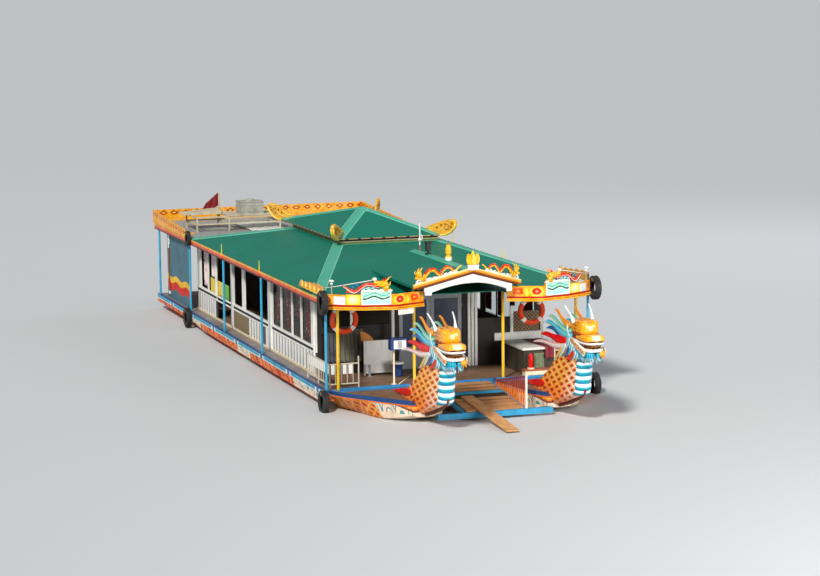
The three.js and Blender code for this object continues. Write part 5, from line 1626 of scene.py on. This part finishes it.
moulding = across_gable(lambda y: [(-0.01, slope_at(y)), (0.082, slope_at(y)), (0.086, slope_at(y) - 0.022),
                                   (0.072, slope_at(y) - 0.034), (0.068, slope_at(y) - 0.078),
                                   (0.05, slope_at(y) - 0.096), (0.034, slope_at(y) - 0.118),
                                   (-0.01, slope_at(y) - 0.118)], -gable_end, gable_end, 60)
piece("gable_valance", valance, trim_white, replaces=("gable_front",))
piece("gable_rim", rim, trim_white, bevel=0.004)
piece("gable_moulding", moulding, moulding_paint())
# a dark brown strip under the moulding, above the white board: painted shadow
shadow_gap = across_gable(lambda y: [(0.0, slope_at(y) - 0.11), (0.036, slope_at(y) - 0.11),
                                     (0.036, slope_at(y) - 0.15), (0.0, slope_at(y) - 0.15)], -1.22, 1.22, 60)
piece("gable_shadow_strip", shadow_gap, painted("gable_painted_shadow_brown", (0.1, 0.02, 0.01), dirt=0.3, gloss=0.5))


def up_slope(points):
    """Path on the port slope: distance down from the peak, proud by out, height above the moulding."""
    return [(y, out, slope_at(y) + high) for y, out, high in points]


coil_places = [(1.1, 0.035, 0.02), (1.05, 0.035, 0.13), (0.96, 0.035, 0.22), (0.85, 0.035, 0.2),
               (0.77, 0.035, 0.08), (0.72, 0.035, 0.04), (0.67, 0.035, 0.12), (0.58, 0.035, 0.18),
               (0.49, 0.035, 0.13), (0.43, 0.035, 0.05), (0.37, 0.035, 0.05), (0.31, 0.035, 0.1),
               (0.25, 0.035, 0.12)]
coil = along_gable(up_slope(coil_places), lambda t: 0.05 - 0.034 * t, 10)
back = along_gable(up_slope([(y, out + 0.004, high + 0.026) for y, out, high in coil_places[1:-3]]),
                   lambda t: 0.04 - 0.02 * t, 10)
beast_head = together(bent_by(blob((1.19, 0.035, slope_at(1.19) + 0.2), (0.065, 0.045, 0.085), 0.9, 12, 16),
                              on_gable), bent_by(blob((1.235, 0.045, slope_at(1.235) + 0.13),
                                                      (0.05, 0.035, 0.035), 0.9, 10, 14), on_gable),
                      along_gable(up_slope([(1.06, 0.035, 0.03), (1.12, 0.035, 0.06), (1.19, 0.035, 0.14)]),
                                  lambda t: 0.045),
                      along_gable(up_slope([(1.17, 0.03, 0.25), (1.13, 0.02, 0.31), (1.09, 0.0, 0.33)]),
                                  lambda t: 0.024 - 0.018 * t),
                      along_gable(up_slope([(1.21, 0.03, 0.25), (1.2, 0.02, 0.31), (1.17, 0.0, 0.345)]),
                                  lambda t: 0.022 - 0.016 * t),
                      along_gable(up_slope([(1.24, 0.03, 0.2), (1.27, 0.02, 0.25), (1.26, 0.0, 0.31)]),
                                  lambda t: 0.02 - 0.015 * t))
curl = [(0, 0.035, -0.01), (0.02, 0.04, 0.045), (-0.02, 0.045, 0.085), (-0.06, 0.045, 0.07),
        (-0.05, 0.045, 0.035)]
small_curl = [(0, 0.035, -0.01), (0.01, 0.04, 0.035), (-0.03, 0.045, 0.05), (-0.06, 0.045, 0.03)]
scroll = together(*(along_gable(up_slope([(y + off, out, high - (0.02 * k if high > 0.05 else 0))
                                          for off, out, high in curl]), 0.021, 8)
                    for k, y in enumerate((1.22, 1.09, 0.97, 0.85))),
                  *(along_gable(up_slope([(y + off, out, high) for off, out, high in small_curl]), 0.017, 8)
                    for y in (0.73, 0.62, 0.52, 0.42)),
                  along_gable(up_slope([(y, 0.03, 0.004) for y in (1.26, 0.8, 0.33)]), 0.022, 8))
for name, form, finish in (("gable_coil", coil, gold_yellow), ("gable_back", back, flower_red),
                           ("gable_beast_head", beast_head, gold_yellow),
                           ("gable_scroll", scroll, trim_white)):
    both(name, form, finish, smooth=True)

crown_gold = painted("crown_gold", (0.9, 0.52, 0.03), dirt=0.15, gloss=0.22)
crown_foot = gable_foot + 0.042
crown_base = together(block(crown_foot - 0.04, crown_foot + 0.04, -0.125, 0.125, 3.2, 3.3),
                      block(crown_foot - 0.045, crown_foot + 0.045, -0.135, 0.135, 3.295, 3.318))
piece("crown_base", crown_base, trim_white, bevel=0.006)
crown_bowl = lathe([(0.05, 0.0), (0.1, 0.01), (0.125, 0.06), (0.135, 0.12), (0.12, 0.15), (0.07, 0.16),
                    (0.045, 0.2), (0.052, 0.24), (0.03, 0.285), (0.006, 0.335)], (0, 0, 0), 32)
petal = plate([(-0.045, 0.02), (0.045, 0.02), (0.062, 0.12), (0.045, 0.2), (0.0, 0.255), (-0.045, 0.2),
               (-0.062, 0.12)], 0.112, 0.128, "yz")
petal = bent_by(petal, lambda x, y, z: (x + 0.028 * sin(z * 12), y, z))
place_crown = lambda x, y, z: (crown_foot + x * 0.42, y, 3.316 + z)
piece("crown_bowl", bent_by(crown_bowl, place_crown), crown_gold, smooth=True)
petals = grown("crown_petals", ring_tree, petal, crown_gold,
               {"Count": 8, "Turn": (0, 0, 2 * pi), "Place": (0, 0, 0)})
for point in petals.data.vertices:
    point.co = place_crown(*point.co)


# Banner panels and the oar
# Each banner is a painted board aft of the cabin, grey-blue with a wavy yellow stripe over a red one. The
# spare oar is lashed upright against it: brown wood, with a white blade and a white block at its foot.
def banner_paint():
    material = new_material("banner_paint")
    x, y, z = spread(material)
    wavy = calc("SINE", x * 5.0) * 0.045 + z
    seam = calc("FRACT", x * 4.0) < 0.08
    colour = mixed(seam, (0.07, 0.18, 0.24), (0.02, 0.05, 0.08))
    colour = mixed(within(wavy, 0.72, 0.95), colour, (0.72, 0.03, 0.015))
    colour = mixed(within(wavy, 0.95, 1.12), colour, (0.92, 0.55, 0.05))
    return weathered(material, colour, dirt=0.4, gloss=0.55)


def oar_paint():
    material = new_material("oar_paint")
    x, y, z = spread(material)
    return weathered(material, mixed(within(z, 0.645, 1.93), (0.82, 0.82, 0.78), (0.26, 0.1, 0.045)),
                     dirt=0.3, gloss=0.45)


dress(banner_paint(), "banner_panel_port", "banner_panel_starboard")
dress(oar_paint(), "oar")


# Gear on the after roof
# A cream welded rack carries a long shelf and a grey tank with a lid and hoops. A white cloth is laid on the
# roof under it, and a dark red flag hangs from its mast.
dress(painted("rack_cream", (0.62, 0.55, 0.4), dirt=0.45, gloss=0.5), "roof_rack")
tank_grey = painted("tank_grey", (0.42, 0.42, 0.37), dirt=0.5, gloss=0.5)
dress(tank_grey, "water_tank")
(tx0, ty0, tz0), (tx1, ty1, tz1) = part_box("water_tank")
piece("tank_lid", block(tx0 - 0.015, tx1 + 0.015, ty0 - 0.015, ty1 + 0.015, tz1 + 0.0003, tz1 + 0.022),
      tank_grey, slot="grey_paint", bevel=0.006)
piece("tank_hatch", lathe([(0.0001, 0.0), (0.13, 0.0), (0.13, 0.035), (0.11, 0.05), (0.0001, 0.05)],
                          ((tx0 + tx1) / 2, (ty0 + ty1) / 2, tz1 + 0.022)), tank_grey, slot="grey_paint")
piece("tank_hoops", together(*(block(tx0 - 0.008, tx1 + 0.008, ty0 - 0.008, ty1 + 0.008, z, z + 0.03)
                               for z in (tz0 + 0.06, tz1 - 0.1))), tank_grey, slot="grey_paint", bevel=0.004)
white_cloth = curtain_cloth("roof_cloth_white", (0.74, 0.74, 0.72), (0.66, 0.66, 0.64), 3.0)
cloth("roof_cloth", lambda u, v: (-9.6 + 2.4 * u, -1.28 + 1.06 * v,
                                  2.634 + 0.008 * sin(9 * u + 3 * v) + 0.005 * sin(23 * v + 11 * u)), 48, 24,
      white_cloth)
flag_red = curtain_cloth("flag_red", (0.2, 0.012, 0.02), (0.16, 0.01, 0.015), 4.0)
hung_cloth("mast_flag", (-9.052, -1.79, 3.62), (-9.16, -2.16, 3.28), 0, 3, 0.02, flag_red,
           low=[(-9.052, -1.79, 3.22), (-9.2, -2.36, 2.94)])


# Front wall of the porch
# The wall behind the front deck is painted almost black, which is partly painted shade under the porch roof.
# A white fluted post stands by the doors, and to port a wicker panel in a white frame is screwed to the wall
# over a white ledge.
deck_top, wall_face = 0.4505, 4.8503
piece("porch_column", together(*(block(wall_face, 4.9, 0.94 + 0.09 * i, 1.01 + 0.09 * i, deck_top, 2.38)
                                 for i in range(3))), rail_white, slot="white_paint", bevel=0.008)
piece("porch_batten", block(wall_face, 4.885, -2.03, -1.97, deck_top, 2.38), rail_white, slot="white_paint",
      bevel=0.006)
piece("porch_wicker", block(wall_face, 4.872, 2.12, 2.8, 1.22, 1.72), woven("wall_wicker", (0.36, 0.24, 0.12),
                                                                      (0.07, 0.045, 0.03), "y"),
      slot="planks", bevel=0.003)
piece("porch_frame", together(block(wall_face, 4.9, 2.04, 2.12, deck_top, 1.86),
                              block(wall_face, 4.92, 1.62, 2.84, 1.03, 1.22)), rail_white, slot="white_paint",
      bevel=0.008)


# Deck railings
# A cream steel railing stands at each front corner of the deck, with white blocks between the pickets
# under its top bar.
dress(painted("railing_cream", (0.66, 0.58, 0.46), dirt=0.35, gloss=0.4), "deck_railing_port",
      "deck_railing_starboard")
for side in sides:
    for run, form, count, reach in (("front", block(6.796, 6.812, 2.588, 2.672, 0.8, 1.024), 4, (0, 0.14, 0)),
                                    ("side", block(5.135, 5.225, 3.122, 3.138, 0.8, 1.024), 11,
                                     (0.15, 0, 0))):
        grown(f"railing_blocks_{run}_{side}", row_tree, on_side(side, form), rail_white,
              {"Count": count, "Step": reach if side == "port" else (reach[0], -reach[1], 0)})


# Locker and bench on the port side of the front deck
# A plywood locker with a white lid and dark sides stands behind a low plank bench. A maroon cloth lies over
# the lid, a grey-green one hangs in front, and a fire extinguisher stands on the bench.
def locker_paint():
    material = new_material("locker_paint")
    x, y, z = spread(material)
    return weathered(material, mixed(z > 1.04, (0.055, 0.045, 0.03), (0.74, 0.72, 0.66)), dirt=0.35,
                     gloss=0.5)


dress(locker_paint(), "deck_locker")
maroon_cloth = curtain_cloth("locker_cloth_maroon", (0.24, 0.03, 0.045), (0.19, 0.02, 0.03), 4.0)


def over_locker(u, v):
    """Across the lid and down its front edge, with a slanting port-hand side."""
    y = 2.18 + 0.1 * v + (0.5 - 0.1 * v) * u
    if v <= 0.82:
        return 5.33 + 1.3 * v / 0.82, y, 1.0935 + 0.004 * (1 + sin(12 * u + 9 * v))
    return 6.632 + 0.012 * sin(14 * u), y, 1.097 - (v - 0.82) * 1.5


cloth("locker_cloth", over_locker, 24, 50, maroon_cloth)
hung_cloth("locker_towel", (6.612, 1.98, 0.96), (6.612, 2.24, 0.96), 0.42, 3, 0.009, curtain_cloth(
    "towel_grey_green", (0.16, 0.2, 0.12), (0.1, 0.13, 0.08), 7.0))
piece("bench_plank", block(6.62, 6.84, 1.66, 2.62, 0.575, 0.615),
      painted("bench_red_brown", (0.36, 0.1, 0.05), dirt=0.3), slot="planks", bevel=0.006)
piece("bench_sides", together(block(6.63, 6.83, 1.68, 1.72, deck_top, 0.575),
                              block(6.63, 6.83, 2.56, 2.6, deck_top, 0.575),
                              block(6.8, 6.83, 1.72, 2.56, 0.47, 0.575)), rail_cream, slot="planks",
      bevel=0.004)
piece("extinguisher", lathe([(0.0001, 0.0), (0.052, 0.0), (0.056, 0.01), (0.056, 0.27), (0.045, 0.31),
                             (0.018, 0.33), (0.018, 0.345), (0.0001, 0.345)], (6.73, 1.86, 0.645)),
      painted("extinguisher_red", (0.7, 0.015, 0.012), dirt=0.1, gloss=0.2), slot="red_paint", smooth=True)
piece("extinguisher_foot", lathe([(0.0001, 0.0), (0.085, 0.0), (0.085, 0.03), (0.0001, 0.03)],
                                 (6.73, 1.86, 0.615)), rail_cream, slot="white_paint")
piece("extinguisher_valve", together(block(6.715, 6.745, 1.845, 1.875, 0.98, 1.01),
                                     block(6.72, 6.74, 1.8, 1.9, 1.01, 1.022),
                                     tube([(6.73, 1.885, 0.995), (6.73, 1.925, 0.97), (6.73, 1.928, 0.9)],
                                          0.008, 8)), dark_paint_and_sill_shadow, slot="rubber", bevel=0.002)


# Goods on the starboard side of the front deck
# A tarpaulin and a darker sheet hang from a bar on the wall. An orange board leans on the white screen; by it
# are a stool, a small bollard, a boat hook on the floor and a blue box on a pole.
piece("tarpaulin_bar", tube([(4.888, -2.78, 1.455), (4.888, -2.33, 1.475), (4.888, -1.7, 1.545)], 0.012, 10),
      dark_paint_and_sill_shadow, slot="rail_steel", smooth=True)
tarpaulin = curtain_cloth("tarpaulin_olive", (0.17, 0.16, 0.12), (0.12, 0.115, 0.09), 3.0)
hung_cloth("tarpaulin", (4.93, -2.34, 1.475), (4.93, -1.74, 1.545), 0, 6, 0.028, tarpaulin,
           low=[(4.95, -2.34, 0.75), (4.95, -1.72, 0.74)])
hung_cloth("dark_sheet", (4.93, -2.7, 1.46), (4.93, -2.35, 1.47), 0.72, 4, 0.025, curtain_cloth(
    "sheet_blue_grey", (0.08, 0.09, 0.105), (0.05, 0.06, 0.07), 3.0))
piece("orange_board", plate([(-1.88, 1.2803), (-1.57, 1.2803), (-1.6, 1.34), (-1.68, 1.42), (-1.8, 1.5),
                             (-1.9, 1.52)], 5.235, 5.262, axes="yz"),
      painted("canvas_orange", (0.62, 0.22, 0.03), dirt=0.3), slot="planks", bevel=0.003)
box_blue = painted("box_blue", (0.008, 0.035, 0.16), dirt=0.15, gloss=0.3)
piece("box_pole", together(lathe([(0.0001, 0.0), (0.07, 0.0), (0.07, 0.02), (0.022, 0.035), (0.02, 0.82),
                                  (0.0001, 0.82)], (6.7, -1.54, deck_top))), rail_cream, slot="white_paint",
      smooth=True)
piece("box_on_pole", block(6.59, 6.8, -1.64, -1.24, 1.27, 1.55), box_blue, slot="painted_blue_steel",
      bevel=0.008)
piece("box_face", block(6.8, 6.806, -1.57, -1.27, 1.3, 1.5), rail_white, slot="white_paint", bevel=0.002)
stripe_grey = painted("box_stripe_grey", (0.3, 0.32, 0.34), dirt=0.1)
grown("box_stripes", row_tree, block(6.806, 6.809, -1.475, -1.455, 1.315, 1.485), stripe_grey, {
    "Count": 4, "Step": (0, 0.028, 0)})
piece("stool", together(lathe([(0.0001, 0.0), (0.12, 0.0), (0.13, 0.03), (0.11, 0.16), (0.13, 0.3),
                               (0.0001, 0.3)], (5.62, -1.1, deck_top), 20),
                        block(5.51, 5.73, -1.15, -1.05, 0.55, 0.66)), box_blue, slot="painted_blue_steel",
      bevel=0.004)
piece("stool_seat", lathe([(0.0001, 0.0), (0.155, 0.0), (0.165, 0.015), (0.16, 0.04), (0.0001, 0.045)],
                          (5.62, -1.1, 0.7505), 28), rail_white, slot="white_paint", smooth=True)
piece("small_bollard", lathe([(0.0001, 0.0), (0.06, 0.0), (0.06, 0.012), (0.028, 0.02), (0.028, 0.22),
                              (0.045, 0.235), (0.045, 0.28), (0.0001, 0.29)], (5.45, -1.74, deck_top)),
      stripe_grey, slot="grey_paint")
piece("boat_hook", together(tube([(6.78, -1.46, 0.465), (5.6, -0.74, 0.465)], 0.0135, 10), tube(
    [(5.62, -0.752, 0.465), (5.55, -0.71, 0.465), (5.52, -0.66, 0.465), (5.55, -0.63, 0.465)], 0.007, 8)),
      rail_cream, slot="planks", smooth=True)


# Machinery
# Plain grey engines in the hulls' wells, and painted steel rudders behind bronze propellers. Little of it
# shows above the water.
dress(painted("engine_grey", (0.16, 0.18, 0.18), dirt=0.5, gloss=0.5), "engine_port",
      "engine_starboard", "rudder_port", "rudder_starboard")
dress(painted("bronze", (0.5, 0.32, 0.12), dirt=0.3, gloss=0.3, metallic=0.9), "propeller_port",
      "propeller_starboard")


# Fenders
# Old car tyres, hollow, with worn tread blocks. Each is tied by a rope band to the rub rail or to the
# eave beam.
def hoop(profile, count, place, axis="y"):
    """A closed ring: its section of (radius, place along the axis) turned about the axis through a point."""
    points = []
    for i in range(count):
        a = 2 * pi * i / count
        for r, t in profile:
            at = (r * cos(a), t, r * sin(a)) if axis == "y" else (t, r * cos(a), r * sin(a))
            points.append(tuple(c + d for c, d in zip(place, at)))
    n = len(profile)
    return points, [(i * n + j, i * n + (j + 1) % n, (i + 1) % count * n + (j + 1) % n,
                     (i + 1) % count * n + j) for i in range(count) for j in range(n)]


# radius, and place across from the middle
half_tyre = [(0.258, 0.0), (0.256, 0.05), (0.235, 0.062), (0.2, 0.06), (0.162, 0.044), (0.15, 0.04),
             (0.152, 0.05), (0.17, 0.06), (0.205, 0.0735), (0.235, 0.0745), (0.262, 0.068), (0.271, 0.056),
             (0.273, 0.0)]
tyre_section = half_tyre + [(r, -t) for r, t in reversed(half_tyre[1:-1])]
tyre_rubber = painted("tyre_rubber", (0.022, 0.022, 0.023), dirt=0.5, gloss=0.7,
                      dirt_colour=(0.12, 0.1, 0.08))
rope_tan = painted("rope_tan", (0.42, 0.32, 0.18), dirt=0.4, gloss=0.8)
tread_block = together(block(-0.017, 0.017, 0.006, 0.056, 0.27, 0.284),
                       block(0.01, 0.044, -0.056, -0.006, 0.268, 0.282))
tyre_band = hoop([(0.078, -0.012), (0.086, -0.006), (0.086, 0.006), (0.078, 0.012)], 24, (0, 0, 0), "x")
tyre_width = 0.57
hung = [f"fender_{where}_{side}" for where in ("bow", "stern", "corner") for side in sides] + ["fender_eave"]
for name in hung:
    low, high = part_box(name)
    place = tuple((a + b) / 2 for a, b in zip(low, high))
    size = (high[0] - low[0]) / tyre_width
    piece(name.replace("fender", "tyre"), hoop([(r * size, t * size) for r, t in tyre_section], 48, place),
          tyre_rubber, slot="rubber", smooth=True, replaces=(name,))
    grown(name.replace("fender", "tread"), ring_tree,
          bent_by(tread_block, lambda x, y, z: (x * size, y * size, z * size)), tyre_rubber,
          {"Count": 30, "Turn": (0, 2 * pi, 0), "Place": place})
    band = bent_by(tyre_band, lambda x, y, z: (place[0] + x, place[1] + y * size * 0.93,
                                               place[2] + (0.21 + z * 0.95) * size))
    piece(name.replace("fender", "tyre_band"), band, rope_tan, slot="banner_cloth", smooth=True)



# Life rings
# Orange-red foam rings with four white cloth bands. Each hangs on a short line from the porch ceiling,
# one to either side.
def ring_paint(side, y0, z0):
    material = new_material(f"ring_paint_{side}")
    x, y, z = spread(material)
    across, up = y - y0, z - z0
    quarter = calc("FRACT", calc("ARCTAN2", up, across) / (pi / 2))
    band = within(quarter, 0.4, 0.6)
    colour = mixed(band, (0.8, 0.075, 0.02), (0.84, 0.82, 0.78))
    colour = mixed(up > 0.357, colour, (0.42, 0.32, 0.18))
    return weathered(material, colour, dirt=0.2, gloss=0.5)


for side, y0, z0 in (("port", 2.26, 1.85), ("starboard", -2.45, 1.9)):
    dress(ring_paint(side, y0, z0), f"life_ring_{side}")
